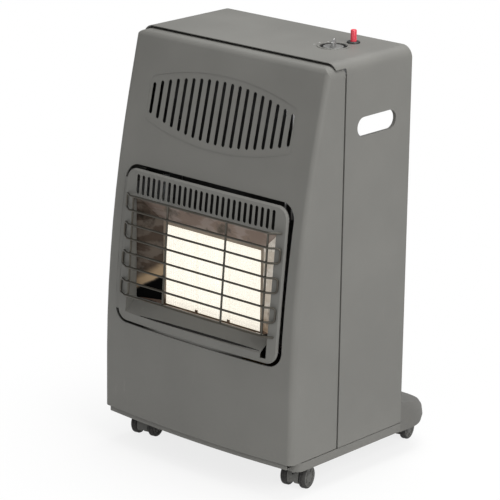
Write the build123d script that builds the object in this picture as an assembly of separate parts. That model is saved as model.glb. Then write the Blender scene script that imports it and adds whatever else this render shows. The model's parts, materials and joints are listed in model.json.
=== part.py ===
"""Portable gas cabinet heater on four twin-wheel castors.

Millimetres.  X runs left to right seen from the front, Y runs from the front to the
back and Z up.  The origin is on the floor, under the middle of the heater.
"""
import os
from math import cos, degrees, radians, sin, sqrt, tan

from build123d import *

far = 60.0                 # cutting shapes run this far past what they cut
near = 5.0                 # or this far, where another wall is close

# ---- cabinet ------------------------------------------------------------------
cabinet_width = 420.0
cabinet_top = 711.0
body_rear = 91.0           # back edge of the side panels
seam_y = -73.0             # front edge of the side panels
top_setback = 17.5         # front edge of the top panel behind the face of the cover
sheet = 1.2
bend_radius = 20.0         # side to top
hem = 5.0                  # folded edges along the seam
back_return = 15.0         # folded edge at the open back
handle_length = 97.0
handle_height = 32.0
handle_y = 4.9
handle_drop = 112.4        # slot centre below the top
handle_flange = 6.0
screw_pitch = 210.0        # screws up each folded back edge
screw_rows = 3
screw_rise = 5.0           # lowest screw over the housing
screw_inset = 8.0
screw_head = 8.0
screw_head_height = 2.2

# ---- front cover --------------------------------------------------------------
front_foot = -190.0        # front face at the sides, below the curve
front_bow = 11.0           # how far the middle stands forward at the foot
least_bow = 0.2            # and at the top
bow_end_drop = 211.0       # the face is flat across from here up, below the top
curve_drop = 561.0         # the front starts to curve this far below the top
curve_radius = 2000.0
front_lean = 13.1          # degrees off vertical above the curve
front_edge_radius = 10.0
cover_steps = 12           # the curved sides are pressed in this many flats
brow_radius = 12.0         # leaning face to the top
cover_gap = 3.0            # dark seam between the cover and the side panels
cover_drop = 5.0           # top of the cover below the top panel
tongue = 18.0              # overlap behind the side panels
cover_tab_inset = 5.0      # top fold to the rounded corners
groove_width = 9.5
groove_depth = 0.7

grille_drop = 109.0        # middle of the grille below the top
grille_slots = 19
grille_pitch = 16.7
grille_slot_width = 7.4
grille_end_height = 52.0
grille_middle_height = 104.0
grille_margin = 9.0        # shallow recess round the slots
grille_recess = 1.0
grille_proud = 0.5         # plane of the grille ahead of the face at its sides
grille_corner = 12.0

# ---- burner opening and its surround --------------------------------------------
opening_half = 185.0
opening_bottom = 223.0
opening_top = 491.0
opening_radius = 27.0
opening_hem = 3.0
surround_gap = 5.0         # dark seam round it, over and under
surround_side_gap = 7.5    # and at its sides
surround_proud = 7.5       # its face stands this far ahead of the cover's, at the top
surround_foot_proud = 4.1  # and at the foot
surround_depth = 4.0       # folded edge behind the face
surround_edge = 2.8        # bevel round its face
surround_bow = 3.5         # rise of its face across the width, at the top
surround_foot_bow = 10.0   # and at the foot
surround_reach = 26.0      # the bow is drawn over this much more than the opening
mouth_side = 28.0          # mouth to the sides of the opening
mouth_head = 51.0          # and to its top
mouth_foot = 40.0          # back of the ledge over the foot of the opening
mouth_setback = 0.2        # back edge of the mouth flange behind the top of the face
crease_rise = 18.0         # ledge meets the rolled lip this far over the foot
crease_setback = 1.7       # and this far behind the bowed face
lip_rise = 2.0
louvre_slots = 26
louvre_inset = 8.25        # last slot to the side of the mouth
louvre_slot_width = 6.8
louvre_slot_height = 33.0
louvre_drop = 13.0         # slots below the top of the opening

# ---- burner -----------------------------------------------------------------------
cheek_inset = 18.0         # side brackets of the burner to the opening
cheek_flange = 14.0
cheek_drop = 8.0           # cheeks past the foot of the mouth
cheek_rise = 20.0          # and past its head
plaque_setback = 17.5      # glowing face behind the mouth flange
plaque_width = 71.0
plaque_height = 142.0
plaque_thickness = 13.0
plaque_gap = 0.6
plaque_sink = 6.0          # foot of the plaques below the back of the ledge
burner_rim = 8.0
rim_lap = 4.0              # rim of the frame and the box past the burner's rim
frame_lap = 2.0            # frame over the edges of the plaques
tab_half = 3.0             # tabs over the joints of the plaques
tab_height = 6.0
burner_box_depth = 30.0
box_setback = 0.3          # its edge behind the face of the plaques
divider_half = 0.5         # half the thickness of the walls between the chambers
burner_sheet = 1.0
reflector_sheet = 0.8
reflector_slit = 0.1       # between one sheet and the next
throat_side = 4.0          # reflectors end this far beside the plaques
throat_margin = 3.0        # and over and under them
venturi_diameter = 22.0
venturi_length = 52.0
venturi_straight = 39.0    # from its head to where it starts to flare
venturi_flare = 5.0
venturi_wall = 1.0
venturi_sink = 1.0         # its head inside the burner box
rail_diameter = 12.0
stay_inset = 7.1           # ends of the two stays inside the outer plaques
stay_rise = 25.0           # stays to the foot and head of the plaques
stay_half = 10.0           # half their height
rail_drop = 20.0           # gas rail below the venturi mouths
rail_overhang = 25.0       # each end past the middle of the outer plaque
rail_tab = 12.0            # width of the tabs to the inner shield
rail_tab_half = 2.0        # and half their thickness
jet_diameter = 8.0
jet_length = 10.0
jet_sink = 1.0             # foot of each jet inside the rail
jet_collar = 11.0

# ---- pilot beside the plaques -----------------------------------------------------
pilot_side = 27.0          # to the right of the plaques
pilot_setback = 12.0       # behind their face
pilot_drop = 8.0           # foot of the pilot under their foot
pilot_diameter = 8.0
pilot_length = 22.0
pilot_collar = 13.0
pilot_seat = 10.0          # top of its collar, which carries the plate
pilot_plate = 1.5
pilot_plate_half = 12.0
pilot_plate_foot = 16.0
probe_side = 9.0           # probe and electrode to the right of the pilot
probe_ahead = 6.0
probe_diameter = 5.0
probe_tip = 3.5
electrode_back = 7.0
electrode_diameter = 5.0
electrode_tip = 1.5

# ---- wire guard -------------------------------------------------------------------
guard_proud = 1.7          # middle of the lowest wire ahead of the crease
wire = 3.6
guard_rise = 11.5          # lowest wire over the back of the ledge
guard_wires = 8
guard_pitch = 24.2
guard_lean = 4.3           # degrees that the guard leans back
guard_overlap = 13.0       # ends lie against the surround beside the mouth
guard_taper = 16.0         # from the straight front wires to the ends
wire_bend = 6.0
wire_lap = 7.0             # each end bend starts this far before the taper
upright_inset = 8.5        # outer uprights inside the mouth
upright_spread = 129.0     # between the two inner uprights
upright_shift = -5.0       # which stand this far off the middle
foot_inset = 5.5           # foot inside the mouth
foot_setback = 14.9        # and behind the lowest wire
foot_bend = 5.0
foot_depth = 8.0           # end of the foot under the crease
notch_width = 12.0         # notch in the ledge round the foot
notch_reach = 11.0         # and how far it runs either way from the foot
weld_gap = 0.03            # wires that are welded touch to within this
wire_seat = 0.3            # wires lie this far off the pressed surround

# ---- inner shield -------------------------------------------------------------------
bead_share = 0.571         # stiffening beads, from the stays' ends towards the cheeks' flanges
shield_setback = 18.5      # its back face ahead of the seam
shield_flange = 16.0
shield_foot = 12.0
bead_half = 6.0
bead_depth = 2.5
bead_low = 120.0
bead_high = 560.0
baffle_drop = 44.0         # baffle below the top
baffle_fold = 14.0
baffle_gap = 0.5           # behind the grille's recess
baffle_side_gap = 4.0      # beside the cover's rounded edges

# ---- base -----------------------------------------------------------------------------
skirt_lift = 8.0           # skirt over the top of the wheels
tray_depth = 15.0
panel_gap = 1.5            # painted panels over the deck
base_sheet = 1.5
base_front = -172.0
base_recess = 22.0         # middle of the front edge set back
base_recess_half = 115.0
base_recess_slant = 12.0
base_front_radius = 14.0
base_rear = 200.0
rear_radius = 75.0
upstand = 9.0              # rails that locate the side panels
upstand_gap = 0.1
upstand_inset = 4.0
stop_half = 85.8           # low stop behind the bottle
stop_height = 14.0
stop_sheet = 2.0
bottle_radius = 156.0
bottle_y = 62.0
bottle_seat = 256.0        # raised round seat for the bottle
bottle_seat_rise = 2.0
bottle_seat_y = 54.0
housing_height = 54.0
housing_slope = 16.0       # degrees
housing_drop = 1.5         # below the skirt
housing_wall = 2.5
housing_gap = 0.1          # to the deck inside it
housing_width = 88.0
housing_profile = ((0.0, 4.0), (8.5, 0.0), (22.5, 3.0), (34.5, 13.0), (50.5, 37.0), (70.5, 57.0))

# ---- castors ----------------------------------------------------------------------------
front_castor_inset = 39.5  # stem to the side of the cabinet
front_castor_y = -136.0
rear_castor_inset = 62.0
rear_castor_setback = 45.5 # stem to the back of the base
wheel_diameter = 39.0
wheel_width = 12.0
wheel_space = 34.0         # middle to middle
castor_trail = 13.0
castor_clearance = 0.5
axle_diameter = 5.0
stem_diameter = 8.0
socket_height = 14.0
socket_wall = 3.0
socket_flange = 7.0        # flange past the stem
socket_plate = 2.0
stem_rise = 26.0           # end of the stem over the foot of the skirt
stem_sink = 14.0           # stem inside the hood
hood_inset = 1.5           # hood inside the rim of its wheels
hood_mouth = 9.0           # open from this far under the axle down
hood_rise = 3.0            # over the wheels
hood_collar = 2.5
hood_collar_height = 5.0
axle_inset = 1.0
running_fit = 0.05         # radial, on every turning pin
castor_turn = 12.0         # degrees that the castors stand off straight

# ---- controls -----------------------------------------------------------------------------
dial_x = 121.0
dial_y = -1.5
dial_diameter = 54.0
dial_depth = 12.0
dish_wall = 1.5
dish_lap = 3.0             # rim over the edge of its hole
dish_rim = 1.4             # rim over the top panel
knob_diameter = 34.0
knob_skirt = 6.0
knob_bevel = 1.2
knob_clearance = 0.8       # left over the dish when the knob is down
grip_width = 8.0
grip_height = 12.0
grip_corner = 3.0
grip_round = 1.5
grip_turn = 35.0           # degrees that the bar stands off front to back
spindle_grip = 11.0        # spindle inside the knob
spindle_diameter = 6.0
knob_travel = 4.0
plunger_wall = 2.0
plunger_length = 9.0
button_x = 128.0
button_y = 40.5
button_diameter = 10.0
button_stand = 22.0
button_travel = 7.0
button_bevel = 0.8
button_sink = 12.0         # its foot below the top panel, at rest
button_clearance = 0.3
collar_diameter = 22.0
collar_height = 3.0
collar_bevel = 1.0
igniter_diameter = 18.0
igniter_length = 52.0
igniter_bore = 20.0
igniter_flange = 3.0
igniter_nut = 4.0
igniter_tip = 6.0
igniter_tip_length = 10.0
valve_width = 40.0
valve_depth = 34.0
valve_height = 30.0
valve_corner = 4.0
valve_drop = 8.0           # valve under the dish
bonnet_diameter = 24.0
bonnet_height = 4.0
inlet_boss = 16.0
inlet_boss_length = 8.0
outlet_boss = 11.0
outlet_boss_length = 7.0
gas_way_rise = 12.0        # gas ways over the foot of the valve
bracket_reach = 16.0       # bracket past each side of the valve
bracket_foot = 12.0
bracket_half = 15.0        # half its depth, front to back
bracket_sheet = 2.0
bracket_clearance = 0.3    # hole round the bonnet
nozzle_diameter = 12.0
nozzle_length = 34.0
nozzle_bore = 5.0
nozzle_nut = 16.0
nozzle_nut_length = 8.0
barb_height = 1.5
barb_length = 5.0
barb_places = (14.0, 20.0, 26.0)   # middle of each barb from the nut's back
pipe_diameter = 6.0
pipe_bend = 12.0
pipe_rise = 30.0           # main pipe turns to the burner this far over the rail
main_pipe_ahead = 14.0     # pipes run this far ahead of the inner shield
pilot_pipe_diameter = 4.0
pilot_pipe_bend = 7.0
pilot_pipe_ahead = 8.0
pilot_pipe_drop = 24.0     # its low run under the pilot
pipe_clearance = 1.0       # notches in the baffle round the pipes
inlet_offset = -12.0       # gas inlet from the middle of the valve
outlet_offset = 10.0
shield_y = seam_y - shield_setback
stay_end = 1.5 * plaque_width - stay_inset
cheek_flange_end = opening_half - cheek_inset - cheek_flange
bead_x = round(stay_end + bead_share * (cheek_flange_end - stay_end), 1)
main_pipe_x = dial_x + outlet_offset
main_pipe_y = shield_y - main_pipe_ahead
pilot_pipe_x = dial_x - outlet_offset
pilot_pipe_y = shield_y - pilot_pipe_ahead

half_width = cabinet_width / 2
skirt_bottom = wheel_diameter + skirt_lift
base_top = skirt_bottom + tray_depth
panel_bottom = base_top + panel_gap
housing_bottom = skirt_bottom - housing_drop
housing_top = housing_bottom + housing_height
housing_inner = half_width - housing_width
front_castor = (half_width - front_castor_inset, front_castor_y)
rear_castor = (half_width - rear_castor_inset, base_rear - rear_castor_setback)
curve_start = cabinet_top - curve_drop
bow_end = cabinet_top - bow_end_drop
mouth_half = opening_half - mouth_side
mouth_bottom = opening_bottom + mouth_foot
mouth_top = opening_top - mouth_head
crease_z = opening_bottom + crease_rise
louvre_top = opening_top - louvre_drop
louvre_bottom = louvre_top - louvre_slot_height
louvre_pitch = 2 * (mouth_half - louvre_inset) / (louvre_slots - 1)
plaque_bottom = mouth_bottom - plaque_sink
guard_bottom = mouth_bottom + guard_rise
guard_end = mouth_half + guard_overlap
guard_half = guard_end - guard_taper


def block(x_range, y_range, z_range):
    """Box between two values along each axis."""
    size = [high - low for low, high in (x_range, y_range, z_range)]
    middle = [(high + low) / 2 for low, high in (x_range, y_range, z_range)]
    return Pos(*middle) * Box(*size)


def rod(start, end, diameter):
    """Round bar between two points."""
    line = Edge.make_line(start, end)
    return Solid.make_cylinder(diameter / 2, line.length, Plane(start, z_dir=line % 0))


def tube_along(points, bends, diameter):
    """Round bar or pipe along straight runs joined by bends."""
    path = FilletPolyline(*points, radius=bends)
    section = Plane(path @ 0, z_dir=path % 0) * Circle(diameter / 2)
    return sweep(section, path=path)


def rounded_outline(half, bottom, top, radius):
    """Rounded rectangle on the XZ plane, as a face looking forward."""
    sketch = RectangleRounded(2 * half, top - bottom, radius)
    return Plane.XZ * Pos(0, (bottom + top) / 2) * sketch


def along_y(face, front, back):
    """Extrude a face that lies on the XZ plane between two Y values."""
    return Pos(0, back, 0) * extrude(face, back - front)


def standing(radius, height):
    """Upright cylinder that stands on its place."""
    return Cylinder(radius, height, align=(Align.CENTER, Align.CENTER, Align.MIN))


def hanging(radius, height):
    """Upright cylinder that hangs under its place."""
    return Cylinder(radius, height, align=(Align.CENTER, Align.CENTER, Align.MAX))


def mirrored(part):
    """The same piece on the left side."""
    return mirror(part, Plane.YZ)


def write(name, *solids):
    """One STEP file for each named piece."""
    shape = solids[0] if len(solids) == 1 else Compound(children=list(solids))
    shape.label = name
    export_step(shape, "parts/" + name + ".step")


# ---- the two curved skins -----------------------------------------------------------
def front_y(z):
    """Front face at the sides: upright foot, long curve, straight lean."""
    lean = radians(front_lean)
    curve_end = curve_start + curve_radius * sin(lean)
    if z <= curve_start:
        return front_foot
    if z <= curve_end:
        return front_foot + curve_radius - sqrt(curve_radius ** 2 - (z - curve_start) ** 2)
    return front_foot + curve_radius * (1 - cos(lean)) + (z - curve_end) * tan(lean)


def bow_at(z):
    """Rise of the curved face across its width at height z."""
    share = min(max((z - curve_start) / (bow_end - curve_start), 0.0), 1.0)
    return least_bow + front_bow * (1 - share * share * (3 - 2 * share))


def plan_section(z, half, front, bow, rear, corner=0.0):
    """Horizontal outline with a bowed front and straight sides."""
    bowed = ThreePointArc((-half, front), (0, front - bow), (half, front))
    sides = Polyline((half, front), (half, rear), (-half, rear), (-half, front))
    outline = make_face([*bowed.edges(), *sides.edges()])
    if corner > 0:
        outline = fillet(outline.vertices().group_by(Axis.Y)[0], corner)
    return Pos(0, 0, z) * outline


def cover_block(inset, lowest, rear):
    """Everything inside the front cover's skin, drawn in by the inset."""
    top = cabinet_top - cover_drop - inset
    half = half_width - inset
    heights = [lowest + (top - lowest) * step / cover_steps for step in range(cover_steps + 1)]
    body = loft([plan_section(z, half, front_y(z) + inset, bow_at(z), rear, front_edge_radius - inset)
                 for z in heights], ruled=True)
    radius = bend_radius - inset
    bend = RadiusArc((half, top - radius), (half - radius, top), -radius)
    beyond = Polyline((half - radius, top), (half - radius, top + near), (half + near, top + near),
                      (half + near, top - radius), (half, top - radius))
    corner = along_y(Plane.XZ * make_face([*bend.edges(), *beyond.edges()]), front_foot - far, rear + near)
    body -= corner
    body -= mirrored(corner)
    return body - brow(inset, top)


def brow(inset, top):
    """What the rounding takes off where the leaning face meets the top."""
    lean = radians(front_lean)
    radius = brow_radius - inset
    corner_y = front_y(top) + inset
    reach = radius * tan((radians(90) - lean) / 2)
    low = (corner_y - reach * sin(lean), top - reach * cos(lean))
    back = (corner_y + reach, top)
    middle = (back[0], top - radius)
    turn = (radians(90) + radians(180) - lean) / 2
    halfway = (middle[0] + radius * cos(turn), middle[1] + radius * sin(turn))
    arc = ThreePointArc(low, halfway, back)
    outside = Polyline(back, (back[0], top + 30), (low[0] - 40, top + 30), (low[0] - 40, low[1]), low)
    profile = make_face([*arc.edges(), *outside.edges()])
    return Pos(-half_width - 5, 0, 0) * extrude(Plane.YZ * profile, cabinet_width + 10)


def surround_y(z):
    """Face of the burner surround at its sides."""
    share = (z - opening_bottom) / (opening_top - opening_bottom)
    top_y = front_y(opening_top) - surround_proud
    foot_y = front_y(opening_bottom) - surround_foot_proud
    return foot_y + (top_y - foot_y) * share


def surround_bow_at(z):
    """Rise of the surround's face across its width at height z."""
    share = (z - opening_bottom) / (opening_top - opening_bottom)
    return surround_foot_bow + (surround_bow - surround_foot_bow) * share


def surround_face(x, z):
    """Face of the surround anywhere on its bow."""
    half = opening_half + surround_reach
    bow = surround_bow_at(z)
    radius = (half ** 2 + bow ** 2) / (2 * bow)
    return surround_y(z) - bow + radius - sqrt(radius ** 2 - x ** 2)


# places that follow from the two faces
cheek_x = opening_half - cheek_inset
surround_top_y = surround_y(opening_top)
mouth_y = surround_top_y + mouth_setback
crease_y = surround_face(0, crease_z) + crease_setback
plaque_y = mouth_y + plaque_setback
guard_y = crease_y - guard_proud
top_front = front_y(cabinet_top - cover_drop) + top_setback
guard_uprights = (upright_inset - mouth_half, upright_shift - upright_spread / 2,
                  upright_shift + upright_spread / 2, mouth_half - upright_inset)
foot_x = mouth_half - foot_inset
foot_y = guard_y + foot_setback


def behind_surround(offset):
    """Everything behind the surround's bowed face, moved back by the offset."""
    half = opening_half + surround_reach
    return loft([plan_section(z, half, surround_y(z) + offset, surround_bow_at(z), seam_y)
                 for z in (opening_bottom - 20, opening_top + 20)], ruled=True)


def surround_block(inset):
    """Everything inside the skin of the burner surround."""
    half = opening_half - surround_side_gap - inset
    bottom = opening_bottom + surround_gap + inset
    top = opening_top - surround_gap - inset
    outline = rounded_outline(half, bottom, top, opening_radius - surround_gap - inset)
    body = behind_surround(inset) & along_y(outline, front_foot - far, seam_y)
    face = body.faces().sort_by(Axis.Y)[0]
    return chamfer(face.edges(), surround_edge - inset / 2)


# ---- cabinet pieces ---------------------------------------------------------------------
def arch(inset, front, back, bottom=panel_bottom):
    """Solid inverted U of the cabinet, drawn in by the inset."""
    top = cabinet_top - inset
    outline = RectangleRounded(2 * (half_width - inset), 2 * (top - bottom), bend_radius - inset)
    solid = along_y(Plane.XZ * Pos(0, bottom) * outline, front, back)
    return solid & block((-half_width, half_width), (front, back), (bottom, cabinet_top + 1))


def handle_slot(grow, inner_x, outer_x):
    """Finger slot in one side, grown outward by the given amount."""
    slot = SlotOverall(handle_length + 2 * grow, handle_height + 2 * grow)
    plane = Plane((inner_x, handle_y, cabinet_top - handle_drop), x_dir=(0, 1, 0), z_dir=(1, 0, 0))
    return extrude(plane * slot, outer_x - inner_x)


def cabinet_wrap():
    """Sides and top in one folded sheet, open at the back."""
    wrap = arch(0, top_front, body_rear) - arch(sheet, top_front - far, body_rear + far, 0)
    tab_z = cabinet_top - bend_radius * 0.5
    for side in (-1, 1):
        ahead = sorted((side * (half_width - 12), side * (half_width + far)))
        wrap -= block(ahead, (top_front - far, seam_y), (0, tab_z))
        hem_x = sorted((side * (half_width - hem), side * (half_width - sheet / 2)))
        wrap += block(hem_x, (seam_y, seam_y + sheet), (panel_bottom, cabinet_top - bend_radius))
    rear_fold = arch(sheet / 2, body_rear - sheet, body_rear)
    rear_fold -= arch(back_return, body_rear - far, body_rear + far, 0)
    wrap += rear_fold
    inner = half_width - handle_flange
    for flip in (lambda solid: solid, mirrored):
        rim = handle_slot(sheet, inner, half_width - sheet / 2)
        wrap += flip(rim)
        wrap -= flip(handle_slot(0, inner - 1, half_width + 1))
    wrap -= Pos(dial_x, dial_y, cabinet_top) * Cylinder(dial_diameter / 2 - dish_lap, 10)
    wrap -= Pos(button_x, button_y, cabinet_top) * Cylinder(igniter_diameter / 2 + button_clearance, 10)
    return wrap


def grille_plane(depth=0.0):
    """Plane of the leaning face at the middle of the grille; depth runs inward."""
    z = cabinet_top - grille_drop
    lean = radians(front_lean)
    normal = (0, -cos(lean), sin(lean))
    face = Plane((0, front_y(z) - grille_proud, z), x_dir=(1, 0, 0), z_dir=normal)
    return face.offset(-depth)


def grille_outline(grow):
    """Field of the grille: two upright ends and two arcs, grown outward."""
    half = (grille_slots - 1) / 2 * grille_pitch + grille_margin + grow
    end_half = grille_end_height / 2 + grille_margin + grow
    middle_half = end_half + (grille_middle_height - grille_end_height) / 2
    top = ThreePointArc((-half, end_half), (0, middle_half), (half, end_half))
    bottom = ThreePointArc((half, -end_half), (0, -middle_half), (-half, -end_half))
    right = Line((half, end_half), (half, -end_half))
    left = Line((-half, -end_half), (-half, end_half))
    field = make_face([*top.edges(), *right.edges(), *bottom.edges(), *left.edges()])
    return fillet(field.vertices(), grille_corner + grow)


def grille_slot(x):
    """One slot, as tall as the two arcs leave it."""
    half = (grille_slots - 1) / 2 * grille_pitch
    share = (x / half) ** 2
    height = grille_middle_height + (grille_end_height - grille_middle_height) * share
    return Pos(x, 0) * Rot(0, 0, 90) * SlotOverall(height, grille_slot_width)


def front_cover():
    """Bowed and leaning front with its sides, grille and burner opening."""
    rear = seam_y - cover_gap
    cover = cover_block(0, panel_bottom, rear) - cover_block(sheet, panel_bottom - 20, rear + 20)
    top = cabinet_top - cover_drop
    fold_top = cabinet_top - bend_radius - cover_drop
    tongue_end = rear + tongue
    for side in (-1, 1):
        fold_x = sorted((side * (half_width - hem - sheet), side * (half_width - sheet / 2)))
        tongue_x = sorted((side * (half_width - hem - sheet), side * (half_width - hem)))
        step_x = sorted((side * (half_width - 2 * sheet), side * (half_width - groove_depth)))
        outside = sorted((side * (half_width - groove_depth), side * (half_width + 5)))
        cover += block(step_x, (rear - groove_width - sheet, rear), (panel_bottom, fold_top))
        cover += block(fold_x, (rear - sheet, rear), (panel_bottom, fold_top))
        cover += block(tongue_x, (rear - sheet, tongue_end), (panel_bottom, fold_top))
        cover -= block(outside, (rear - groove_width, rear), (0, fold_top))
    flat = half_width - bend_radius - cover_tab_inset
    cover += block((-flat, flat), (rear - sheet, rear), (top - sheet, cabinet_top - sheet))
    cover += block((-flat, flat), (rear, tongue_end), (cabinet_top - 2 * sheet, cabinet_top - sheet))
    cover += opening_fold()
    outline = rounded_outline(opening_half, opening_bottom, opening_top, opening_radius)
    cover -= along_y(outline, front_foot - far, front_foot + 100)
    pan = extrude(grille_plane(grille_recess + sheet) * grille_outline(sheet), grille_recess + grille_proud)
    pan -= extrude(grille_plane(grille_recess) * grille_outline(0), 20)
    cover -= extrude(grille_plane(grille_recess) * grille_outline(0), 20)
    cover += pan
    slots = Sketch() + [
        grille_slot((index - (grille_slots - 1) / 2) * grille_pitch)
        for index in range(grille_slots)]
    cover -= extrude(grille_plane(grille_recess + 5) * slots, 20)
    return cover


def opening_fold():
    """Edge of the burner opening folded inward."""
    outer = rounded_outline(opening_half + sheet, opening_bottom - sheet, opening_top + sheet,
                            opening_radius + sheet)
    ring = along_y(outer, front_foot - far, front_foot + 100)
    skin = cover_block(sheet / 2, panel_bottom, seam_y) - cover_block(opening_hem, panel_bottom, seam_y)
    return ring & skin


# ---- burner surround ----------------------------------------------------------------------
def mouth(grow, front, back):
    """Opening of the surround: flat top and sides, floor sloping down to the front."""
    slope = (mouth_bottom - crease_z) / (mouth_y - crease_y)
    floor_front = crease_z - grow - (crease_y - front) * slope
    floor_back = crease_z - grow + (back - crease_y) * slope
    side_view = Polyline((front, floor_front), (back, floor_back), (back, mouth_top + grow),
                         (front, mouth_top + grow), close=True)
    profile = Plane.YZ * make_face(side_view)
    return Pos(-mouth_half - grow, 0, 0) * extrude(profile, 2 * (mouth_half + grow))


def burner_surround():
    """Pressed surround with a louvred band, an open mouth and a sloping ledge."""
    front = front_foot - far
    outer = surround_block(0)
    skin = outer - surround_block(sheet) - behind_surround(surround_depth)
    cut = mouth(0, front, seam_y)
    above_lip = block((-mouth_half, mouth_half), (front, seam_y), (crease_z + lip_rise, mouth_top))
    frame = (mouth(sheet, front, mouth_y) - cut) & outer
    surround = (skin - (cut & above_lip)) + frame
    band = Sketch() + [
        Pos((index - (louvre_slots - 1) / 2) * louvre_pitch, (louvre_bottom + louvre_top) / 2)
        * Rot(0, 0, 90) * SlotOverall(louvre_top - louvre_bottom, louvre_slot_width)
        for index in range(louvre_slots)]
    surround -= along_y(Plane.XZ * band, front, surround_top_y + 8)
    surround -= block((mouth_half - notch_width, mouth_half), (foot_y - notch_reach, foot_y + notch_reach),
                      (crease_z - 5, mouth_bottom))
    return surround


def burner_bracket():
    """Right-hand cheek between the inner shield and the back of the surround."""
    low, high = mouth_bottom - cheek_drop, mouth_top + cheek_rise
    front = [surround_face(cheek_x, z) + sheet + wire_seat for z in (low, high)]
    back = shield_y - sheet
    side_view = Polyline((front[0], low), (back, low), (back, high), (front[1], high), close=True)
    cheek = Pos(cheek_x - sheet, 0, 0) * extrude(Plane.YZ * make_face(side_view), sheet)
    cheek += block((cheek_x - cheek_flange, cheek_x), (back - sheet, back), (low, high))
    return cheek


def reflector(which):
    """One of four bright sheets that flare from the plaques to the mouth."""
    throat_half = 1.5 * plaque_width + plaque_gap + throat_side
    throat_low = plaque_bottom - throat_margin
    throat_high = plaque_bottom + plaque_height + throat_margin
    throat_y = plaque_y - burner_sheet
    thin = reflector_sheet
    wide = mouth_half + sheet

    def rim(half, low, high, y, grow):
        return Plane((0, y, 0), x_dir=(1, 0, 0), z_dir=(0, -1, 0)) * Pos(0, (low + high) / 2) \
            * Rectangle(2 * (half + grow), high - low + 2 * grow)
    outer = loft([rim(wide, mouth_bottom, mouth_top, mouth_y, 0),
                  rim(throat_half, throat_low, throat_high, throat_y, 0)])
    inner = loft([rim(wide, mouth_bottom, mouth_top, mouth_y, -thin),
                  rim(throat_half, throat_low, throat_high, throat_y, -thin)])
    shell = outer - inner
    zones = {
        "top": [(-wide, mouth_top), (wide, mouth_top), (throat_half, throat_high),
                (-throat_half, throat_high)],
        "floor": [(-wide, mouth_bottom), (wide, mouth_bottom), (throat_half, throat_low),
                  (-throat_half, throat_low)],
        "side": [(wide, mouth_bottom + reflector_slit), (wide, mouth_top - reflector_slit),
                 (throat_half, throat_high - reflector_slit),
                 (throat_half, mouth_bottom + reflector_slit)]}
    zone = make_face(Polyline(*zones[which], close=True))
    return shell & along_y(Plane.XZ * zone, mouth_y - near, throat_y + near)


def plaque(index):
    """Porous ceramic plaque; index is -1, 0 or 1 from the left."""
    x = index * (plaque_width + plaque_gap)
    return block((x - plaque_width / 2, x + plaque_width / 2),
                 (plaque_y, plaque_y + plaque_thickness),
                 (plaque_bottom, plaque_bottom + plaque_height))


def plaque_frame():
    """Thin rim that clamps the plaques, with two tabs over the joints."""
    half = 1.5 * plaque_width + plaque_gap
    low, high = plaque_bottom, plaque_bottom + plaque_height
    rim = burner_rim + rim_lap
    frame = block((-half - rim, half + rim), (plaque_y - burner_sheet, plaque_y), (low - rim, high + rim))
    frame -= block((-half + frame_lap, half - frame_lap), (plaque_y - near, plaque_y + near),
                   (low + frame_lap, high - frame_lap))
    for joint in (-1, 1):
        x = joint * (plaque_width + plaque_gap) / 2
        frame += block((x - tab_half, x + tab_half), (plaque_y - burner_sheet, plaque_y),
                       (low, low + tab_height))
    return frame


def burner_box():
    """Three mixing chambers behind the plaques, with a clamping flange."""
    half = 1.5 * plaque_width + plaque_gap + burner_sheet
    low = plaque_bottom - burner_sheet
    high = plaque_bottom + plaque_height + burner_sheet
    front = plaque_y + box_setback
    back = plaque_y + plaque_thickness + burner_box_depth
    box = block((-half, half), (front, back), (low, high))
    box -= block((-half + burner_sheet, half - burner_sheet), (front - 1, back - burner_sheet),
                 (low + burner_sheet, high - burner_sheet))
    for joint in (-1, 1):
        x = joint * (plaque_width + plaque_gap) / 2
        box += block((x - divider_half, x + divider_half), (plaque_y + plaque_thickness, back), (low, high))
    rim = burner_rim + rim_lap
    grow = rim - burner_sheet
    flange = block((-half - grow, half + grow), (plaque_y, plaque_y + burner_sheet),
                   (low - grow, high + grow))
    flange -= block((-half + burner_sheet, half - burner_sheet), (front - near, back),
                    (low + burner_sheet, high - burner_sheet))
    box += flange
    for index in (-1, 0, 1):
        x = index * (plaque_width + plaque_gap)
        y = (plaque_y + plaque_thickness + back) / 2
        box -= Pos(x, y, low) * Cylinder(venturi_diameter / 2, 6)
    return box


def burner_stays():
    """Channels between the burner box and the inner shield."""
    back = plaque_y + plaque_thickness + burner_box_depth
    stays = []
    for z in (plaque_bottom + stay_rise, plaque_bottom + plaque_height - stay_rise):
        low, high = z - stay_half, z + stay_half
        channel = block((-stay_end, stay_end), (back, shield_y - sheet), (low, high))
        channel -= block((-stay_end - 1, stay_end + 1), (back + sheet, shield_y - 2 * sheet),
                         (low + sheet, high + 1))
        stays.append(channel)
    return stays


def venturi_top():
    """Head of the mixing tubes."""
    return plaque_bottom - burner_sheet + venturi_sink


def venturi_tubes():
    """Gas and air mixing tubes, flared at the foot."""
    y = plaque_y + plaque_thickness + burner_box_depth / 2
    top = venturi_top()
    radius = venturi_diameter / 2 - running_fit
    tubes = []
    for index in (-1, 0, 1):
        inner = radius - venturi_wall
        outside = [(radius, 0), (radius, -venturi_straight), (radius + venturi_flare, -venturi_length)]
        inside = [(inner + venturi_flare, -venturi_length), (inner, -venturi_straight), (inner, 0)]
        profile = Polyline(*outside, *inside, close=True)
        tube = revolve(Plane.XZ * make_face(profile), Axis.Z)
        tubes.append(Pos(index * (plaque_width + plaque_gap), y, top) * tube)
    return tubes


def rail_z():
    """Height of the gas rail."""
    return venturi_top() - venturi_length - rail_drop + jet_length / 2


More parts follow.
